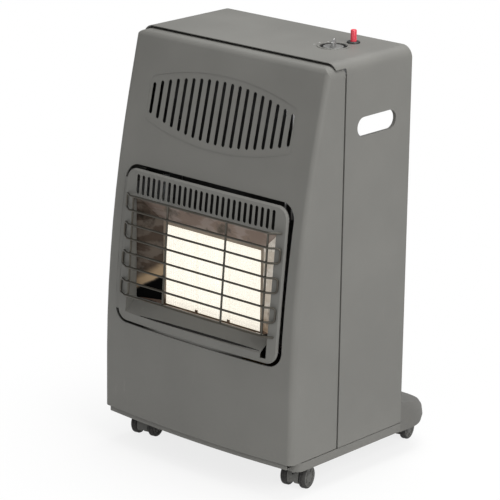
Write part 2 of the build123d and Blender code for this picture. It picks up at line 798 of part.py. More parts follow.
def gas_rail():
    """Rail with three jets under the mixing tubes."""
    y = plaque_y + plaque_thickness + burner_box_depth / 2
    z = rail_z()
    half = plaque_width + rail_overhang
    rail = rod((-half, y, z), (half, y, z), rail_diameter)
    for index in (-1, 0, 1):
        x = index * (plaque_width + plaque_gap)
        foot = z + rail_diameter / 2 - jet_sink
        rail += rod((x, y, foot), (x, y, foot + jet_length), jet_diameter)
        rail += rod((x, y, foot + 2), (x, y, foot + 6), jet_collar)
    rail += block((-half, -half + rail_tab), (y, shield_y - sheet), (z - rail_tab_half, z + rail_tab_half))
    rail += block((half - rail_tab, half), (y, shield_y - sheet), (z - rail_tab_half, z + rail_tab_half))
    return rail


# ---- wire guard ------------------------------------------------------------------------------
def guard_front(z):
    """Middle of the front wires: the guard leans back towards its top."""
    return guard_y + (z - guard_bottom) * tan(radians(guard_lean))


def guard_end_points(side, z):
    """Where a front wire hands over to its end bend, turns back and meets the surround."""
    y = guard_front(z)
    end_y = surround_face(guard_end, z) - wire / 2 - wire_seat
    return [(side * (guard_half - wire_lap), y, z), (side * guard_half, y, z), (side * guard_end, end_y, z)]


def guard_return(side, low, high):
    """End bend that carries one front wire on into the next."""
    points = guard_end_points(side, high) + guard_end_points(side, low)[::-1]
    return tube_along(points, wire_bend, wire)


def guard_tail(z):
    """Free right-hand end of the top or the lowest wire."""
    return tube_along(guard_end_points(1, z), wire_bend, wire)


def guard_foot():
    """Foot wire that turns down behind the lowest wire into the notch in the ledge."""
    start = guard_y + wire / 2 + weld_gap
    points = [(foot_x, start, guard_bottom), (foot_x, foot_y, guard_bottom),
              (foot_x, foot_y, crease_z - foot_depth)]
    return tube_along(points, foot_bend, wire)


def wire_guard():
    """One wire bent to and fro, with uprights welded behind it and a foot in the ledge."""
    heights = [guard_bottom + index * guard_pitch for index in range(guard_wires)]
    reach = guard_half - wire_lap
    fronts = [rod((-reach, guard_front(z), z), (reach, guard_front(z), z), wire) for z in heights]
    returns = []
    for index in range(guard_wires - 1):
        side = -1 if index % 2 == 0 else 1
        returns.append(guard_return(side, heights[index], heights[index + 1]))
    behind = (wire + weld_gap) / cos(radians(guard_lean))
    ends = [heights[0], heights[-1]]
    uprights = [rod(*[(x, guard_front(z) + behind, z) for z in ends], wire) for x in guard_uprights]
    tails = [guard_tail(z) for z in ends]
    return fronts + returns + tails + uprights + [guard_foot()]


# ---- inner shield and baffle -------------------------------------------------------------------
def heat_shield():
    """Sheet between the burner and the bottle space, folded on its edges."""
    half = half_width - hem - sheet
    top = cabinet_top - baffle_drop
    shield = block((-half, half), (shield_y - sheet, shield_y), (base_top, top))
    shield += block((-half, half), (shield_y, shield_y + shield_foot), (base_top, base_top + sheet))
    for side in (-1, 1):
        edge = sorted((side * (half - sheet), side * half))
        shield += block(edge, (shield_y, shield_y + shield_flange), (base_top, top))
    inner = bead_half - sheet
    for x in (-bead_x, bead_x):
        shield += block((x - bead_half, x + bead_half), (shield_y - bead_depth, shield_y),
                        (bead_low, bead_high))
        shield -= block((x - inner, x + inner), (shield_y - bead_depth + sheet, shield_y + 1),
                        (bead_low + sheet, bead_high - sheet))
    return shield


def top_baffle():
    """Sheet that turns the hot air out through the grille."""
    top = cabinet_top - baffle_drop
    front = front_y(top) + grille_recess + 2 * sheet + baffle_gap
    half = half_width - front_edge_radius - baffle_side_gap
    baffle = block((-half, half), (front, shield_y - sheet), (top - sheet, top))
    baffle += block((-half, half), (shield_y - 2 * sheet, shield_y - sheet), (top - baffle_fold, top))
    for x, y, diameter in ((main_pipe_x, main_pipe_y, pipe_diameter),
                           (pilot_pipe_x, pilot_pipe_y, pilot_pipe_diameter)):
        notch = diameter / 2 + pipe_clearance
        baffle -= block((x - notch, x + notch), (y - notch, 0), (top - 20, top + 5))
    return baffle


# ---- base ---------------------------------------------------------------------------------------
def base_plan(inset, z):
    """Outline of the base drawn in by the inset."""
    half = half_width - inset
    front = base_front + inset
    rear = base_rear - inset
    radius = rear_radius - inset
    step = base_recess_half + inset
    outline = Polyline(
        (half, front), (half, rear), (-half, rear), (-half, front), (-step, front),
        (-step + base_recess_slant, front + base_recess), (step - base_recess_slant, front + base_recess),
        (step, front),
        close=True)
    face = make_face(outline)
    rear_corners = face.vertices().group_by(Axis.Y)[-1]
    face = fillet(rear_corners, radius)
    outer_front = [v for v in face.vertices() if abs(abs(v.X) - half) < 1 and v.Y < front + 1]
    face = fillet(outer_front, base_front_radius - inset)
    return Pos(0, 0, z) * face


def base_tray():
    """Pressed base: deck, skirt, locating upstand and bottle stop at the back."""
    tray = extrude(base_plan(0, skirt_bottom), base_top - skirt_bottom)
    tray -= extrude(base_plan(base_sheet, skirt_bottom - 1), base_top - skirt_bottom + 1 - base_sheet)
    inner = half_width - sheet - upstand_gap
    depth = (seam_y + upstand_inset, body_rear - upstand_inset)
    rails = block((-inner, inner), depth, (base_top, base_top + upstand))
    rails -= block((-inner + base_sheet, inner - base_sheet), (-base_rear, base_rear), (0, base_top + far))
    tray += rails
    tray += Pos(0, bottle_seat_y, base_top) * standing(bottle_seat / 2, bottle_seat_rise)
    hollow = standing(bottle_seat / 2 - base_sheet, bottle_seat_rise)
    tray -= Pos(0, bottle_seat_y, base_top - base_sheet) * hollow
    tray += block((-stop_half, stop_half), (base_rear - 2 * stop_sheet, base_rear - stop_sheet),
                  (base_top, base_top + stop_height))
    for x, y in castor_places():
        tray -= Pos(x, y, base_top) * Cylinder(stem_diameter / 2 + socket_wall, 8)
    shell = extrude(base_plan(0, 0), base_top + 1)
    shell -= extrude(base_plan(housing_wall + housing_gap, 0), base_top + 1)
    for side in (-1, 1):
        ends = sorted((side * housing_inner, side * (half_width + 1)))
        tray -= shell & block(ends, (body_rear, base_rear + 1), (0, base_top + 1))
    return tray


def castor_places():
    """Stem axes of the four castors, front left first."""
    fx, fy = front_castor
    rx, ry = rear_castor
    return [(-fx, fy), (fx, fy), (-rx, ry), (rx, ry)]


def housing_section(z, rear, inset):
    """Plan of the right-hand housing at one height."""
    half = half_width - inset
    radius = rear_radius - inset
    rear -= inset
    front = body_rear - rear_radius
    inner = housing_inner + inset
    corner = RadiusArc((half, rear - radius, z), (half - radius, rear, z), -radius)
    lines = Polyline((half - radius, rear, z), (inner, rear, z), (inner, front, z), (half, front, z),
                     (half, rear - radius, z))
    return Face(Wire([*corner.edges(), *lines.edges()]))


def housing_solid(inset):
    """Outer form of the right-hand housing, drawn in by the inset."""
    sections = []
    for rise, setback in housing_profile:
        z = housing_bottom + rise - (inset if rise == 0 else 0)
        sections.append(housing_section(z, base_rear - setback, inset))
    body = loft(sections, ruled=True)
    top = housing_top - inset
    drop = (base_rear - body_rear) * tan(radians(housing_slope))
    side = Polyline((body_rear - 1, 0), (base_rear + 1, 0), (base_rear + 1, top - drop),
                    (body_rear - 1, top), close=True)
    body &= Pos(-half_width, 0, 0) * extrude(Plane.YZ * make_face(side), cabinet_width)
    body &= block((0, half_width), (body_rear + inset, base_rear), (0, housing_top))
    return body - Pos(0, bottle_y, 0) * Cylinder(bottle_radius + inset, 2 * (housing_top + far))


def rear_housing():
    """Right-hand moulded housing over a rear castor, hollowed round the bottle."""
    deck = base_plan(housing_wall + housing_gap, 0)
    shell = housing_solid(0) - housing_solid(housing_wall)
    return shell - extrude(deck, base_top)


def castor_sockets():
    """Sleeves pressed in the base for the castor stems."""
    sockets = []
    for x, y in castor_places():
        sleeve = standing(stem_diameter / 2 + socket_wall, socket_height)
        flange = standing(stem_diameter / 2 + socket_flange, socket_plate)
        bore = Cylinder(stem_diameter / 2 + running_fit, far)
        sockets.append(Pos(x, y, base_top - base_sheet - socket_plate) * (sleeve + flange - bore))
    return sockets


# ---- castors ----------------------------------------------------------------------------------------
def castor_body():
    """Middle hood of a twin-wheel castor about its stem axis."""
    radius = wheel_diameter / 2
    half = (wheel_space - wheel_width) / 2 - castor_clearance
    hub = Plane.YZ * Pos(castor_trail, radius) * Circle(radius - hood_inset)
    hood = Pos(-half, 0, 0) * extrude(hub, 2 * half)
    hood -= block((-far, far), (-far, far), (-near, radius - hood_mouth))
    crown = wheel_diameter + hood_rise
    neck = Pos(0, 0, crown) * hanging(half + hood_collar, hood_collar_height)
    neck += block((-half, half), (-2, castor_trail), (radius, crown - 4))
    hood += neck
    hood -= Pos(0, castor_trail, radius) * Rot(0, 90, 0) * Cylinder(axle_diameter / 2, 2 * wheel_space)
    return hood - Cylinder(stem_diameter / 2, 2 * (crown + far))


def castor_stem():
    """Stem pin that stands in the socket."""
    foot = wheel_diameter + hood_rise - stem_sink
    return rod((0, 0, foot), (0, 0, skirt_bottom + stem_rise), stem_diameter)


def castor_axle():
    """Axle through both wheels."""
    reach = (wheel_space + wheel_width) / 2 - axle_inset
    radius = wheel_diameter / 2
    return rod((-reach, castor_trail, radius), (reach, castor_trail, radius), axle_diameter)


def castor_wheel(side):
    """Wheel with a recessed hub; side is -1 or 1."""
    radius = wheel_diameter / 2
    half = wheel_width / 2
    profile = Polyline(
        (axle_diameter / 2 + running_fit, -half + 0.6), (radius - 1, -half + 0.6), (radius, -half + 1.6),
        (radius, half - 2.5), (radius - 2.5, half), (radius - 4.5, half), (radius - 6, half - 1.2),
        (axle_diameter / 2 + 3, half - 0.2), (axle_diameter / 2 + running_fit, half - 0.2), close=True)
    wheel = revolve(Plane.XZ * make_face(profile), Axis.Z)
    wheel = Rot(0, 90 * side, 0) * wheel
    return Pos(side * wheel_space / 2, castor_trail, radius) * wheel


# ---- controls ------------------------------------------------------------------------------------------
def control_dish():
    """Round cup let into the top, with a flat rim."""
    radius = dial_diameter / 2
    floor = cabinet_top - dial_depth
    bore = spindle_diameter / 2 + dish_wall
    rim_top = cabinet_top + dish_rim
    profile = Polyline((bore, floor), (radius - 8, floor), (radius - 4.5, cabinet_top),
                       (radius, cabinet_top), (radius - 0.8, rim_top), (radius - 4, rim_top),
                       (radius - 8.8, floor + dish_wall), (bore, floor + dish_wall), close=True)
    cup = revolve(Plane.XZ * make_face(profile), Axis.Z)
    return Pos(dial_x, dial_y, 0) * cup


def knob_floor():
    """Underside of the knob's skirt: it clears the dish when it is pushed down."""
    return cabinet_top - dial_depth + dish_wall + knob_travel + knob_clearance


def control_knob():
    """Round skirt with a grip bar across it."""
    floor = knob_floor()
    radius = knob_diameter / 2
    skirt = Pos(0, 0, floor) * standing(radius, knob_skirt)
    skirt = chamfer(skirt.edges().sort_by(Axis.Z)[-1:], knob_bevel)
    grip = block((-grip_width / 2, grip_width / 2), (-radius + 1, radius - 1),
                 (floor + knob_skirt - 1, floor + knob_skirt + grip_height))
    grip = fillet(grip.edges().filter_by(Axis.Z), grip_corner)
    grip = fillet(grip.faces().sort_by(Axis.Z)[-1].edges(), grip_round)
    knob = skirt + grip
    knob -= Pos(0, 0, floor - 1) * standing(spindle_diameter / 2, spindle_grip + 1)
    return Pos(dial_x, dial_y, 0) * Rot(0, 0, grip_turn) * knob


def valve_top():
    """Height of the valve body's upper face."""
    return cabinet_top - dial_depth - valve_drop


def valve_spindle():
    """Spindle from the valve to the knob."""
    top = knob_floor() + spindle_grip
    return rod((dial_x, dial_y, valve_top() - 10), (dial_x, dial_y, top), spindle_diameter)


def valve_plunger():
    """Sliding sleeve round the spindle that opens the pilot way."""
    outer = spindle_diameter / 2 + plunger_wall
    sleeve = standing(outer, plunger_length)
    sleeve -= Cylinder(spindle_diameter / 2 + running_fit, far)
    return Pos(dial_x, dial_y, valve_top() - plunger_length + knob_travel) * sleeve


def gas_valve():
    """Cast valve body with its bonnet, inlet boss and outlet bosses."""
    top = valve_top()
    low = top - valve_height
    shoulder = top - bonnet_height
    gas_way = low + gas_way_rise
    body = block((-valve_width / 2, valve_width / 2), (-valve_depth / 2, valve_depth / 2), (low, shoulder))
    body = fillet(body.edges().filter_by(Axis.Z), valve_corner)
    body += Pos(0, 0, shoulder) * standing(bonnet_diameter / 2, bonnet_height)
    inlet_end = valve_depth / 2 + inlet_boss_length
    body += rod((inlet_offset, 0, gas_way), (inlet_offset, inlet_end, gas_way), inlet_boss)
    outlet_end = -valve_depth / 2 - outlet_boss_length
    for x in (-outlet_offset, outlet_offset):
        body += rod((x, 0, gas_way), (x, outlet_end, gas_way), outlet_boss)
    bore = spindle_diameter / 2 + plunger_wall + running_fit
    body -= Pos(0, 0, top) * Cylinder(bore, 36)
    return Pos(dial_x, dial_y, 0) * body


def valve_bracket():
    """Folded bracket that hangs the valve under the top panel."""
    top = cabinet_top - sheet
    seat = valve_top() - bonnet_height
    half = valve_width / 2 + bracket_reach
    depth = (-bracket_half, bracket_half)
    strap = block((-half, half), depth, (seat, seat + bracket_sheet))
    strap -= Cylinder(bonnet_diameter / 2 + bracket_clearance, 2 * cabinet_top)
    for side in (-1, 1):
        leg = sorted((side * half, side * (half - bracket_sheet)))
        foot = sorted((side * half, side * (half + bracket_foot)))
        strap += block(leg, depth, (seat, top))
        strap += block(foot, depth, (top - bracket_sheet, top))
    return Pos(dial_x, dial_y, 0) * strap


def inlet_z():
    """Height of the gas ways through the valve."""
    return valve_top() - valve_height + gas_way_rise


def hose_nozzle():
    """Ribbed inlet nozzle for the gas hose."""
    x, z = dial_x + inlet_offset, inlet_z()
    start = dial_y + valve_depth / 2 + inlet_boss_length
    nozzle = rod((x, start, z), (x, start + nozzle_length, z), nozzle_diameter - 2 * barb_height)
    nozzle += rod((x, start, z), (x, start + nozzle_nut_length, z), nozzle_nut)
    for step in barb_places:
        barb = Cone(nozzle_diameter / 2, nozzle_diameter / 2 - barb_height, barb_length)
        nozzle += Pos(x, start + step, z) * Rot(-90, 0, 0) * barb
    return nozzle - rod((x, start + 4, z), (x, start + nozzle_length + 1, z), nozzle_bore)


def main_pipe():
    """Pipe from the valve down to the rail, in front of the inner shield."""
    x, y = main_pipe_x, main_pipe_y
    y_low = plaque_y + plaque_thickness + burner_box_depth / 2
    start = dial_y - valve_depth / 2 - outlet_boss_length
    points = [(x, start, inlet_z()), (x, y, inlet_z()), (x, y, rail_z() + pipe_rise),
              (x, y_low, rail_z()), (plaque_width + rail_overhang, y_low, rail_z())]
    return tube_along(points, pipe_bend, pipe_diameter)


def pilot_pipe():
    """Thin pipe from the valve to the pilot burner."""
    x, y = pilot_pipe_x, pilot_pipe_y
    start = dial_y - valve_depth / 2 - outlet_boss_length
    low = pilot_z() - pilot_pipe_drop
    points = [(x, start, inlet_z()), (x, y, inlet_z()), (x, y, low),
              (pilot_x(), pilot_y(), low), (pilot_x(), pilot_y(), pilot_z())]
    return tube_along(points, pilot_pipe_bend, pilot_pipe_diameter)


def pilot_x():
    """Pilot burner beside the right-hand plaque."""
    return 1.5 * plaque_width + plaque_gap + pilot_side


def pilot_y():
    """Pilot burner behind the face of the plaques."""
    return plaque_y + pilot_setback


def pilot_z():
    """Foot of the pilot burner."""
    return plaque_bottom - pilot_drop


def pilot_burner():
    """Pilot tube with its hood."""
    x, y, z = pilot_x(), pilot_y(), pilot_z()
    pilot = rod((x, y, z), (x, y, z + pilot_length), pilot_diameter)
    pilot += rod((x, y, z + 4), (x, y, z + pilot_seat), pilot_collar)
    return pilot - rod((x, y - 10, z + 17), (x, y, z + 17), 4)


def pilot_bracket():
    """Plate that holds the pilot, probe and electrode on the cheek."""
    x, y, z = pilot_x(), pilot_y(), pilot_z()
    edge = cheek_x - sheet
    depth = (y - pilot_plate_half, y + pilot_plate_half)
    seat = z + pilot_seat
    plate = block((x - pilot_plate_half, edge), depth, (seat, seat + pilot_plate))
    plate += block((edge - pilot_plate, edge), depth, (seat, seat + pilot_plate_foot))
    holes = ((x, y, pilot_diameter), (x + probe_side, y - probe_ahead, probe_diameter),
             (x + probe_side, y + electrode_back, electrode_diameter))
    for hole_x, hole_y, diameter in holes:
        plate -= rod((hole_x, hole_y, z), (hole_x, hole_y, z + far), diameter)
    return plate


def tipped_rod(x, y, low, shoulder, high, diameter, tip):
    """Upright rod with a thinner tip."""
    return rod((x, y, low), (x, y, shoulder), diameter) + rod((x, y, shoulder), (x, y, high), tip)


def thermocouple():
    """Flame probe beside the pilot, at its front."""
    x, y, z = pilot_x() + probe_side, pilot_y() - probe_ahead, pilot_z()
    return tipped_rod(x, y, z - 6, z + 20, z + 30, probe_diameter, probe_tip)


def spark_electrode():
    """Electrode beside the pilot, at its back."""
    x, y, z = pilot_x() + probe_side, pilot_y() + electrode_back, pilot_z()
    return tipped_rod(x, y, z - 8, z + 18, z + 28, electrode_diameter, electrode_tip)


def igniter_collar():
    """Black ring round the button."""
    ring = standing(collar_diameter / 2, collar_height)
    ring = chamfer(ring.edges().sort_by(Axis.Z)[-1:], collar_bevel)
    ring -= Cylinder(button_diameter / 2 + button_clearance, far)
    return Pos(button_x, button_y, cabinet_top) * ring


def igniter_body():
    """Piezo striker hanging under the top."""
    tube = hanging(igniter_diameter / 2, igniter_length)
    tube += Pos(0, 0, -sheet) * hanging(igniter_diameter / 2 + igniter_flange, igniter_nut)
    tube -= Cylinder(button_diameter / 2 + button_clearance, 2 * igniter_bore)
    tip = hanging(igniter_tip / 2, igniter_tip_length)
    return Pos(button_x, button_y, cabinet_top) * (tube + Pos(0, 0, -igniter_length) * tip)


def igniter_button():
    """Long red push button."""
    button = hanging(button_diameter / 2, button_stand + button_sink)
    button = chamfer(button.edges().sort_by(Axis.Z)[-1:], button_bevel)
    return Pos(button_x, button_y, cabinet_top + button_stand) * button


def panel_screws():
    """Screws up the folded back edges."""
    screws = []
    for side in (-1, 1):
        x = side * (half_width - screw_inset)
        for index in range(screw_rows):
            z = housing_top + screw_rise + index * screw_pitch
            screws.append(rod((x, body_rear, z), (x, body_rear + screw_head_height, z), screw_head))
    return screws


def place_castor(solid, place):
    """Turn a castor piece off straight and move it to its stem axis."""
    x, y = place
    return Pos(x, y, 0) * Rot(0, 0, castor_turn) * solid


def main():
    os.makedirs("parts", exist_ok=True)
    write("cabinet_wrap", cabinet_wrap())
    write("front_cover", front_cover())
    write("burner_surround", burner_surround())
    write("wire_guard", *wire_guard())
    write("burner_bracket_right", burner_bracket())
    write("burner_bracket_left", mirrored(burner_bracket()))
    write("reflector_top", reflector("top"))
    write("reflector_floor", reflector("floor"))
    write("reflector_right", reflector("side"))
    write("reflector_left", mirrored(reflector("side")))
    for index, name in ((-1, "plaque_left"), (0, "plaque_centre"), (1, "plaque_right")):
        write(name, plaque(index))
    write("plaque_frame", plaque_frame())
    write("burner_box", burner_box())
    write("burner_stays", *burner_stays())
    write("venturi_tubes", *venturi_tubes())
    write("gas_rail", gas_rail())
    write("heat_shield", heat_shield())
    write("top_baffle", top_baffle())
    write("base_tray", base_tray())
    write("rear_housing_right", rear_housing())
    write("rear_housing_left", mirrored(rear_housing()))
    write("castor_sockets", *castor_sockets())
    for name, place in zip(("front_left", "front_right", "rear_left", "rear_right"), castor_places()):
        write("castor_body_" + name, place_castor(castor_body(), place))
        write("castor_pins_" + name, place_castor(castor_stem(), place), place_castor(castor_axle(), place))
        write("castor_wheel_a_" + name, place_castor(castor_wheel(-1), place))
        write("castor_wheel_b_" + name, place_castor(castor_wheel(1), place))
    write("control_dish", control_dish())
    write("control_knob", control_knob())
    write("valve_spindle", valve_spindle())
    write("valve_plunger", valve_plunger())
    write("gas_valve", gas_valve())
    write("valve_bracket", valve_bracket())
    write("hose_nozzle", hose_nozzle())
    write("main_pipe", main_pipe())
    write("pilot_pipe", pilot_pipe())
    write("pilot_burner", pilot_burner())
    write("pilot_bracket", pilot_bracket())
    write("thermocouple", thermocouple())
    write("spark_electrode", spark_electrode())
    write("igniter_collar", igniter_collar())
    write("igniter_body", igniter_body())
    write("igniter_button", igniter_button())
    write("panel_screws", *panel_screws())


main()
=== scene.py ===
import json
import math

import bmesh
import bpy
from mathutils import Matrix, Vector


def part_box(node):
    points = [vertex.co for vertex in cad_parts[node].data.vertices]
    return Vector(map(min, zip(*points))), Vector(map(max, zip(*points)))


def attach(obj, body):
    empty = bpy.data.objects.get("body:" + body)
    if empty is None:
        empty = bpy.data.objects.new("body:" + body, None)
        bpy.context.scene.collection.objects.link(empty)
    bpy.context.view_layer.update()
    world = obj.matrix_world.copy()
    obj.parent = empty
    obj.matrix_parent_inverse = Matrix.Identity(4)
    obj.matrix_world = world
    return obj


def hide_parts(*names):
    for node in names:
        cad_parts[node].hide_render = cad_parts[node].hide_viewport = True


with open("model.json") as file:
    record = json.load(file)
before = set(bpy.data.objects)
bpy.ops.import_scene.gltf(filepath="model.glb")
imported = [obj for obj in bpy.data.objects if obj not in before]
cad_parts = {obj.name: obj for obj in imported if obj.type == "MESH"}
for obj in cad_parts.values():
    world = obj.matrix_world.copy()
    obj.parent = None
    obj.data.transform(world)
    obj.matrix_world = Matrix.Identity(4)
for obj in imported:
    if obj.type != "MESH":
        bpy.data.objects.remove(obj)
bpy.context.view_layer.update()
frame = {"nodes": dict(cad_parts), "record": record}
nodes = frame["nodes"]
slotOf = {part["node"]: part["material_slot"] for part in frame["record"]["subparts"]}
print("frame in place:", len(nodes), "nodes")

# camera fitted to the cabinet's edges at its real width
cameraSetup = {
    "place": (2.8498, -3.2724, 1.6860),  # metres
    "right": (0.74513, 0.66678, 0.01397),
    "up": (-0.20744, 0.21181, 0.95503),
    "forward": (-0.63384, 0.71452, -0.29614),
    "lens": 195.1, "sensor": 36.0,  # mm
    "near": 0.1, "far": 60.0,
}


def makeCamera():
    cameraData = bpy.data.cameras.new("photoCamera")
    cameraData.sensor_width = cameraSetup["sensor"]
    cameraData.lens = cameraSetup["lens"]
    cameraData.clip_start = cameraSetup["near"]
    cameraData.clip_end = cameraSetup["far"]
    camera = bpy.data.objects.new("photoCamera", cameraData)
    bpy.context.scene.collection.objects.link(camera)
    back = [-part for part in cameraSetup["forward"]]
    turn = Matrix((cameraSetup["right"], cameraSetup["up"], back)).transposed()
    camera.matrix_world = Matrix.Translation(cameraSetup["place"]) @ turn.to_4x4()
    bpy.context.scene.camera = camera


makeCamera()
bpy.context.scene.view_settings.view_transform = "Standard"
print("camera set")

# helpers that place shader nodes and wire them up
falling = (1.0, 0.0)  # for a mask that is full at the low end


def addNode(tree, kind, values=None, **settings):
    # settings are the node's own, values go to its sockets
    node = tree.nodes.new(kind)
    for key, setting in settings.items():
        setattr(node, key, setting)
    for label, value in (values or {}).items():
        node.inputs[label].default_value = value
    return node


def newGroup(name, label, kind, value, outputs):
    # a group takes the place on the piece and one more input, and puts out masks and heights
    group = bpy.data.node_groups.new(name, "ShaderNodeTree")
    group.interface.new_socket(name="Vector", in_out="INPUT", socket_type="NodeSocketVector")
    group.interface.new_socket(name=label, in_out="INPUT", socket_type=kind).default_value = value
    for output in outputs:
        group.interface.new_socket(name=output, in_out="OUTPUT", socket_type="NodeSocketFloat")
    inlet = addNode(group, "NodeGroupInput", location=(-900, 0))
    return group, inlet, addNode(group, "NodeGroupOutput", location=(700, 0))


def noiseOf(tree, vector, setting, stretch=None):
    # the setting is a scale, a detail and a roughness
    noise = addNode(tree, "ShaderNodeTexNoise", dict(zip(("Scale", "Detail", "Roughness"), setting)))
    if stretch:
        mapping = addNode(tree, "ShaderNodeMapping", {"Scale": stretch})
        tree.links.new(vector, mapping.inputs["Vector"])
        vector = mapping.outputs["Vector"]
    tree.links.new(vector, noise.inputs["Vector"])
    return noise.outputs["Fac"]


def mathOf(tree, operation, first, second=None, clamp=False):
    node = addNode(tree, "ShaderNodeMath", operation=operation, use_clamp=clamp)
    for socket, value in zip(node.inputs, (first, second)):
        if value is None:
            continue
        if isinstance(value, (int, float)):
            socket.default_value = value
        else:
            tree.links.new(value, socket)
    return node.outputs[0]


def rangeOf(tree, value, start, end=(0.0, 1.0)):
    # a soft step that takes the first pair of numbers to the second
    limits = dict(zip(("From Min", "From Max", "To Min", "To Max"), (*start, *end)))
    node = addNode(tree, "ShaderNodeMapRange", limits, interpolation_type="SMOOTHSTEP")
    tree.links.new(value, node.inputs["Value"])
    return node.outputs["Result"]


def mixOf(tree, factor, first, second):
    # a colour mix keeps its colours in sockets 6 and 7 and its result in 2
    node = addNode(tree, "ShaderNodeMix", data_type="RGBA")
    for socket, value in ((node.inputs["Factor"], factor), (node.inputs[6], first), (node.inputs[7], second)):
        if isinstance(value, (int, float)):
            socket.default_value = value
        elif isinstance(value, (tuple, list)):
            socket.default_value = (*value, 1.0)
        else:
            tree.links.new(value, socket)
    return node.outputs[2]


def laidOver(tree, color, mask, share, over):
    # a second colour laid thinly over the first
    return mixOf(tree, mathOf(tree, "MULTIPLY", mask, share), color, over)


def addedTo(tree, value, mask, share, clamp=False):
    return mathOf(tree, "ADD", value, mathOf(tree, "MULTIPLY", mask, share), clamp=clamp)


def axesOf(tree, vector):
    split = addNode(tree, "ShaderNodeSeparateXYZ")
    tree.links.new(vector, split.inputs["Vector"])
    return split.outputs


def scaled(color, factor):
    return tuple(min(channel * factor, 1.0) for channel in color)


# fine powder-coat or moulded grain: a height and a mask of specks
grainEffect = {
    "scale": 900.0,  # grains to the metre, where a finish gives none
    "fine": {"Detail": 4.0, "Roughness": 0.6}, "coarseScale": 0.45,
    "fineHeight": 0.6, "coarseHeight": 0.5, "speckleFade": (0.55, 0.75),
}


def makeGrainGroup():
    group, inlet, outlet = newGroup("surfaceGrain", "Scale", "NodeSocketFloat", grainEffect["scale"],
                                    ("Height", "Speckle"))
    fine = addNode(group, "ShaderNodeTexNoise", grainEffect["fine"])
    group.links.new(inlet.outputs["Vector"], fine.inputs["Vector"])
    group.links.new(inlet.outputs["Scale"], fine.inputs["Scale"])
    coarse = addNode(group, "ShaderNodeTexVoronoi", feature="SMOOTH_F1")
    group.links.new(inlet.outputs["Vector"], coarse.inputs["Vector"])
    coarseScale = mathOf(group, "MULTIPLY", inlet.outputs["Scale"], grainEffect["coarseScale"])
    group.links.new(coarseScale, coarse.inputs["Scale"])
    fineHeight = mathOf(group, "MULTIPLY", fine.outputs["Fac"], grainEffect["fineHeight"])
    both = addedTo(group, fineHeight, coarse.outputs["Distance"], grainEffect["coarseHeight"])
    group.links.new(both, outlet.inputs["Height"])
    speckle = rangeOf(group, fine.outputs["Fac"], grainEffect["speckleFade"])
    group.links.new(speckle, outlet.inputs["Speckle"])
    return group


# soft cloudiness, thin scuffs, and dust that gathers near the floor
wearEffect = {
    "dustHeight": 0.12,  # metres
    "cloudNoise": (7.0, 4.0, 0.5), "cloudFade": (0.3, 0.7),
    "streakNoise": (60.0, 6.0, 0.7), "streakStretch": (1.0, 1.0, 0.12), "streakFade": (0.62, 0.72),
    "patchNoise": (9.0, 2.0, 0.5), "patchFade": (0.56, 0.7),
    "speckNoise": (160.0, 5.0, 0.7), "speckFade": (0.35, 0.75),
}


def makeWearGroup():
    group, inlet, outlet = newGroup("handlingWear", "Dust Height", "NodeSocketFloat",
                                    wearEffect["dustHeight"], ("Cloud", "Scuff", "Dust"))
    vector = inlet.outputs["Vector"]
    cloud = rangeOf(group, noiseOf(group, vector, wearEffect["cloudNoise"]), wearEffect["cloudFade"])
    group.links.new(cloud, outlet.inputs["Cloud"])
    streaks = noiseOf(group, vector, wearEffect["streakNoise"], wearEffect["streakStretch"])
    patches = rangeOf(group, noiseOf(group, vector, wearEffect["patchNoise"]), wearEffect["patchFade"])
    scuff = mathOf(group, "MULTIPLY", rangeOf(group, streaks, wearEffect["streakFade"]), patches, clamp=True)
    group.links.new(scuff, outlet.inputs["Scuff"])
    height = mathOf(group, "DIVIDE", axesOf(group, vector)["Z"], inlet.outputs["Dust Height"])
    low = mathOf(group, "SUBTRACT", 1.0, height, clamp=True)
    specks = rangeOf(group, noiseOf(group, vector, wearEffect["speckNoise"]), wearEffect["speckFade"])
    group.links.new(mathOf(group, "MULTIPLY", low, specks, clamp=True), outlet.inputs["Dust"])
    return group


# fine lines drawn along one way of a sheet or wire, and blotches of stain
drawnEffect = {"lineNoise": (300.0, 5.0, 0.65), "blotchNoise": (24.0, 5.0, 0.6), "blotchFade": (0.35, 0.7)}


def makeDrawnGroup():
    group, inlet, outlet = newGroup("drawnLines", "Stretch", "NodeSocketVector", (1.0, 1.0, 1.0),
                                    ("Lines", "Blotch"))
    vector = inlet.outputs["Vector"]
    mapping = addNode(group, "ShaderNodeMapping")
    group.links.new(vector, mapping.inputs["Vector"])
    group.links.new(inlet.outputs["Stretch"], mapping.inputs["Scale"])
    lines = noiseOf(group, mapping.outputs["Vector"], drawnEffect["lineNoise"])
    group.links.new(lines, outlet.inputs["Lines"])
    blotch = rangeOf(group, noiseOf(group, vector, drawnEffect["blotchNoise"]), drawnEffect["blotchFade"])
    group.links.new(blotch, outlet.inputs["Blotch"])
    return group


grainGroup = makeGrainGroup()
wearGroup = makeWearGroup()
drawnGroup = makeDrawnGroup()
print("grain, wear and drawn lines ready")


def useGroup(tree, group, vector, **values):
    node = addNode(tree, "ShaderNodeGroup", values, node_tree=group)
    tree.links.new(vector, node.inputs["Vector"])
    return node.outputs


def startMaterial(name):
    material = bpy.data.materials.new(name)
    material.use_nodes = True
    tree = material.node_tree
    shader = tree.nodes["Principled BSDF"]
    where = addNode(tree, "ShaderNodeTexCoord", location=(-1200, 0)).outputs["Object"]
    return material, tree, shader, where


def surfaceInto(tree, shader, color, rough):
    tree.links.new(color, shader.inputs["Base Color"])
    tree.links.new(rough, shader.inputs["Roughness"])


def bumpInto(tree, shader, height, strength, distance):
    bump = addNode(tree, "ShaderNodeBump", {"Strength": strength, "Distance": distance})
    tree.links.new(height, bump.inputs["Height"])
    tree.links.new(bump.outputs["Normal"], shader.inputs["Normal"])


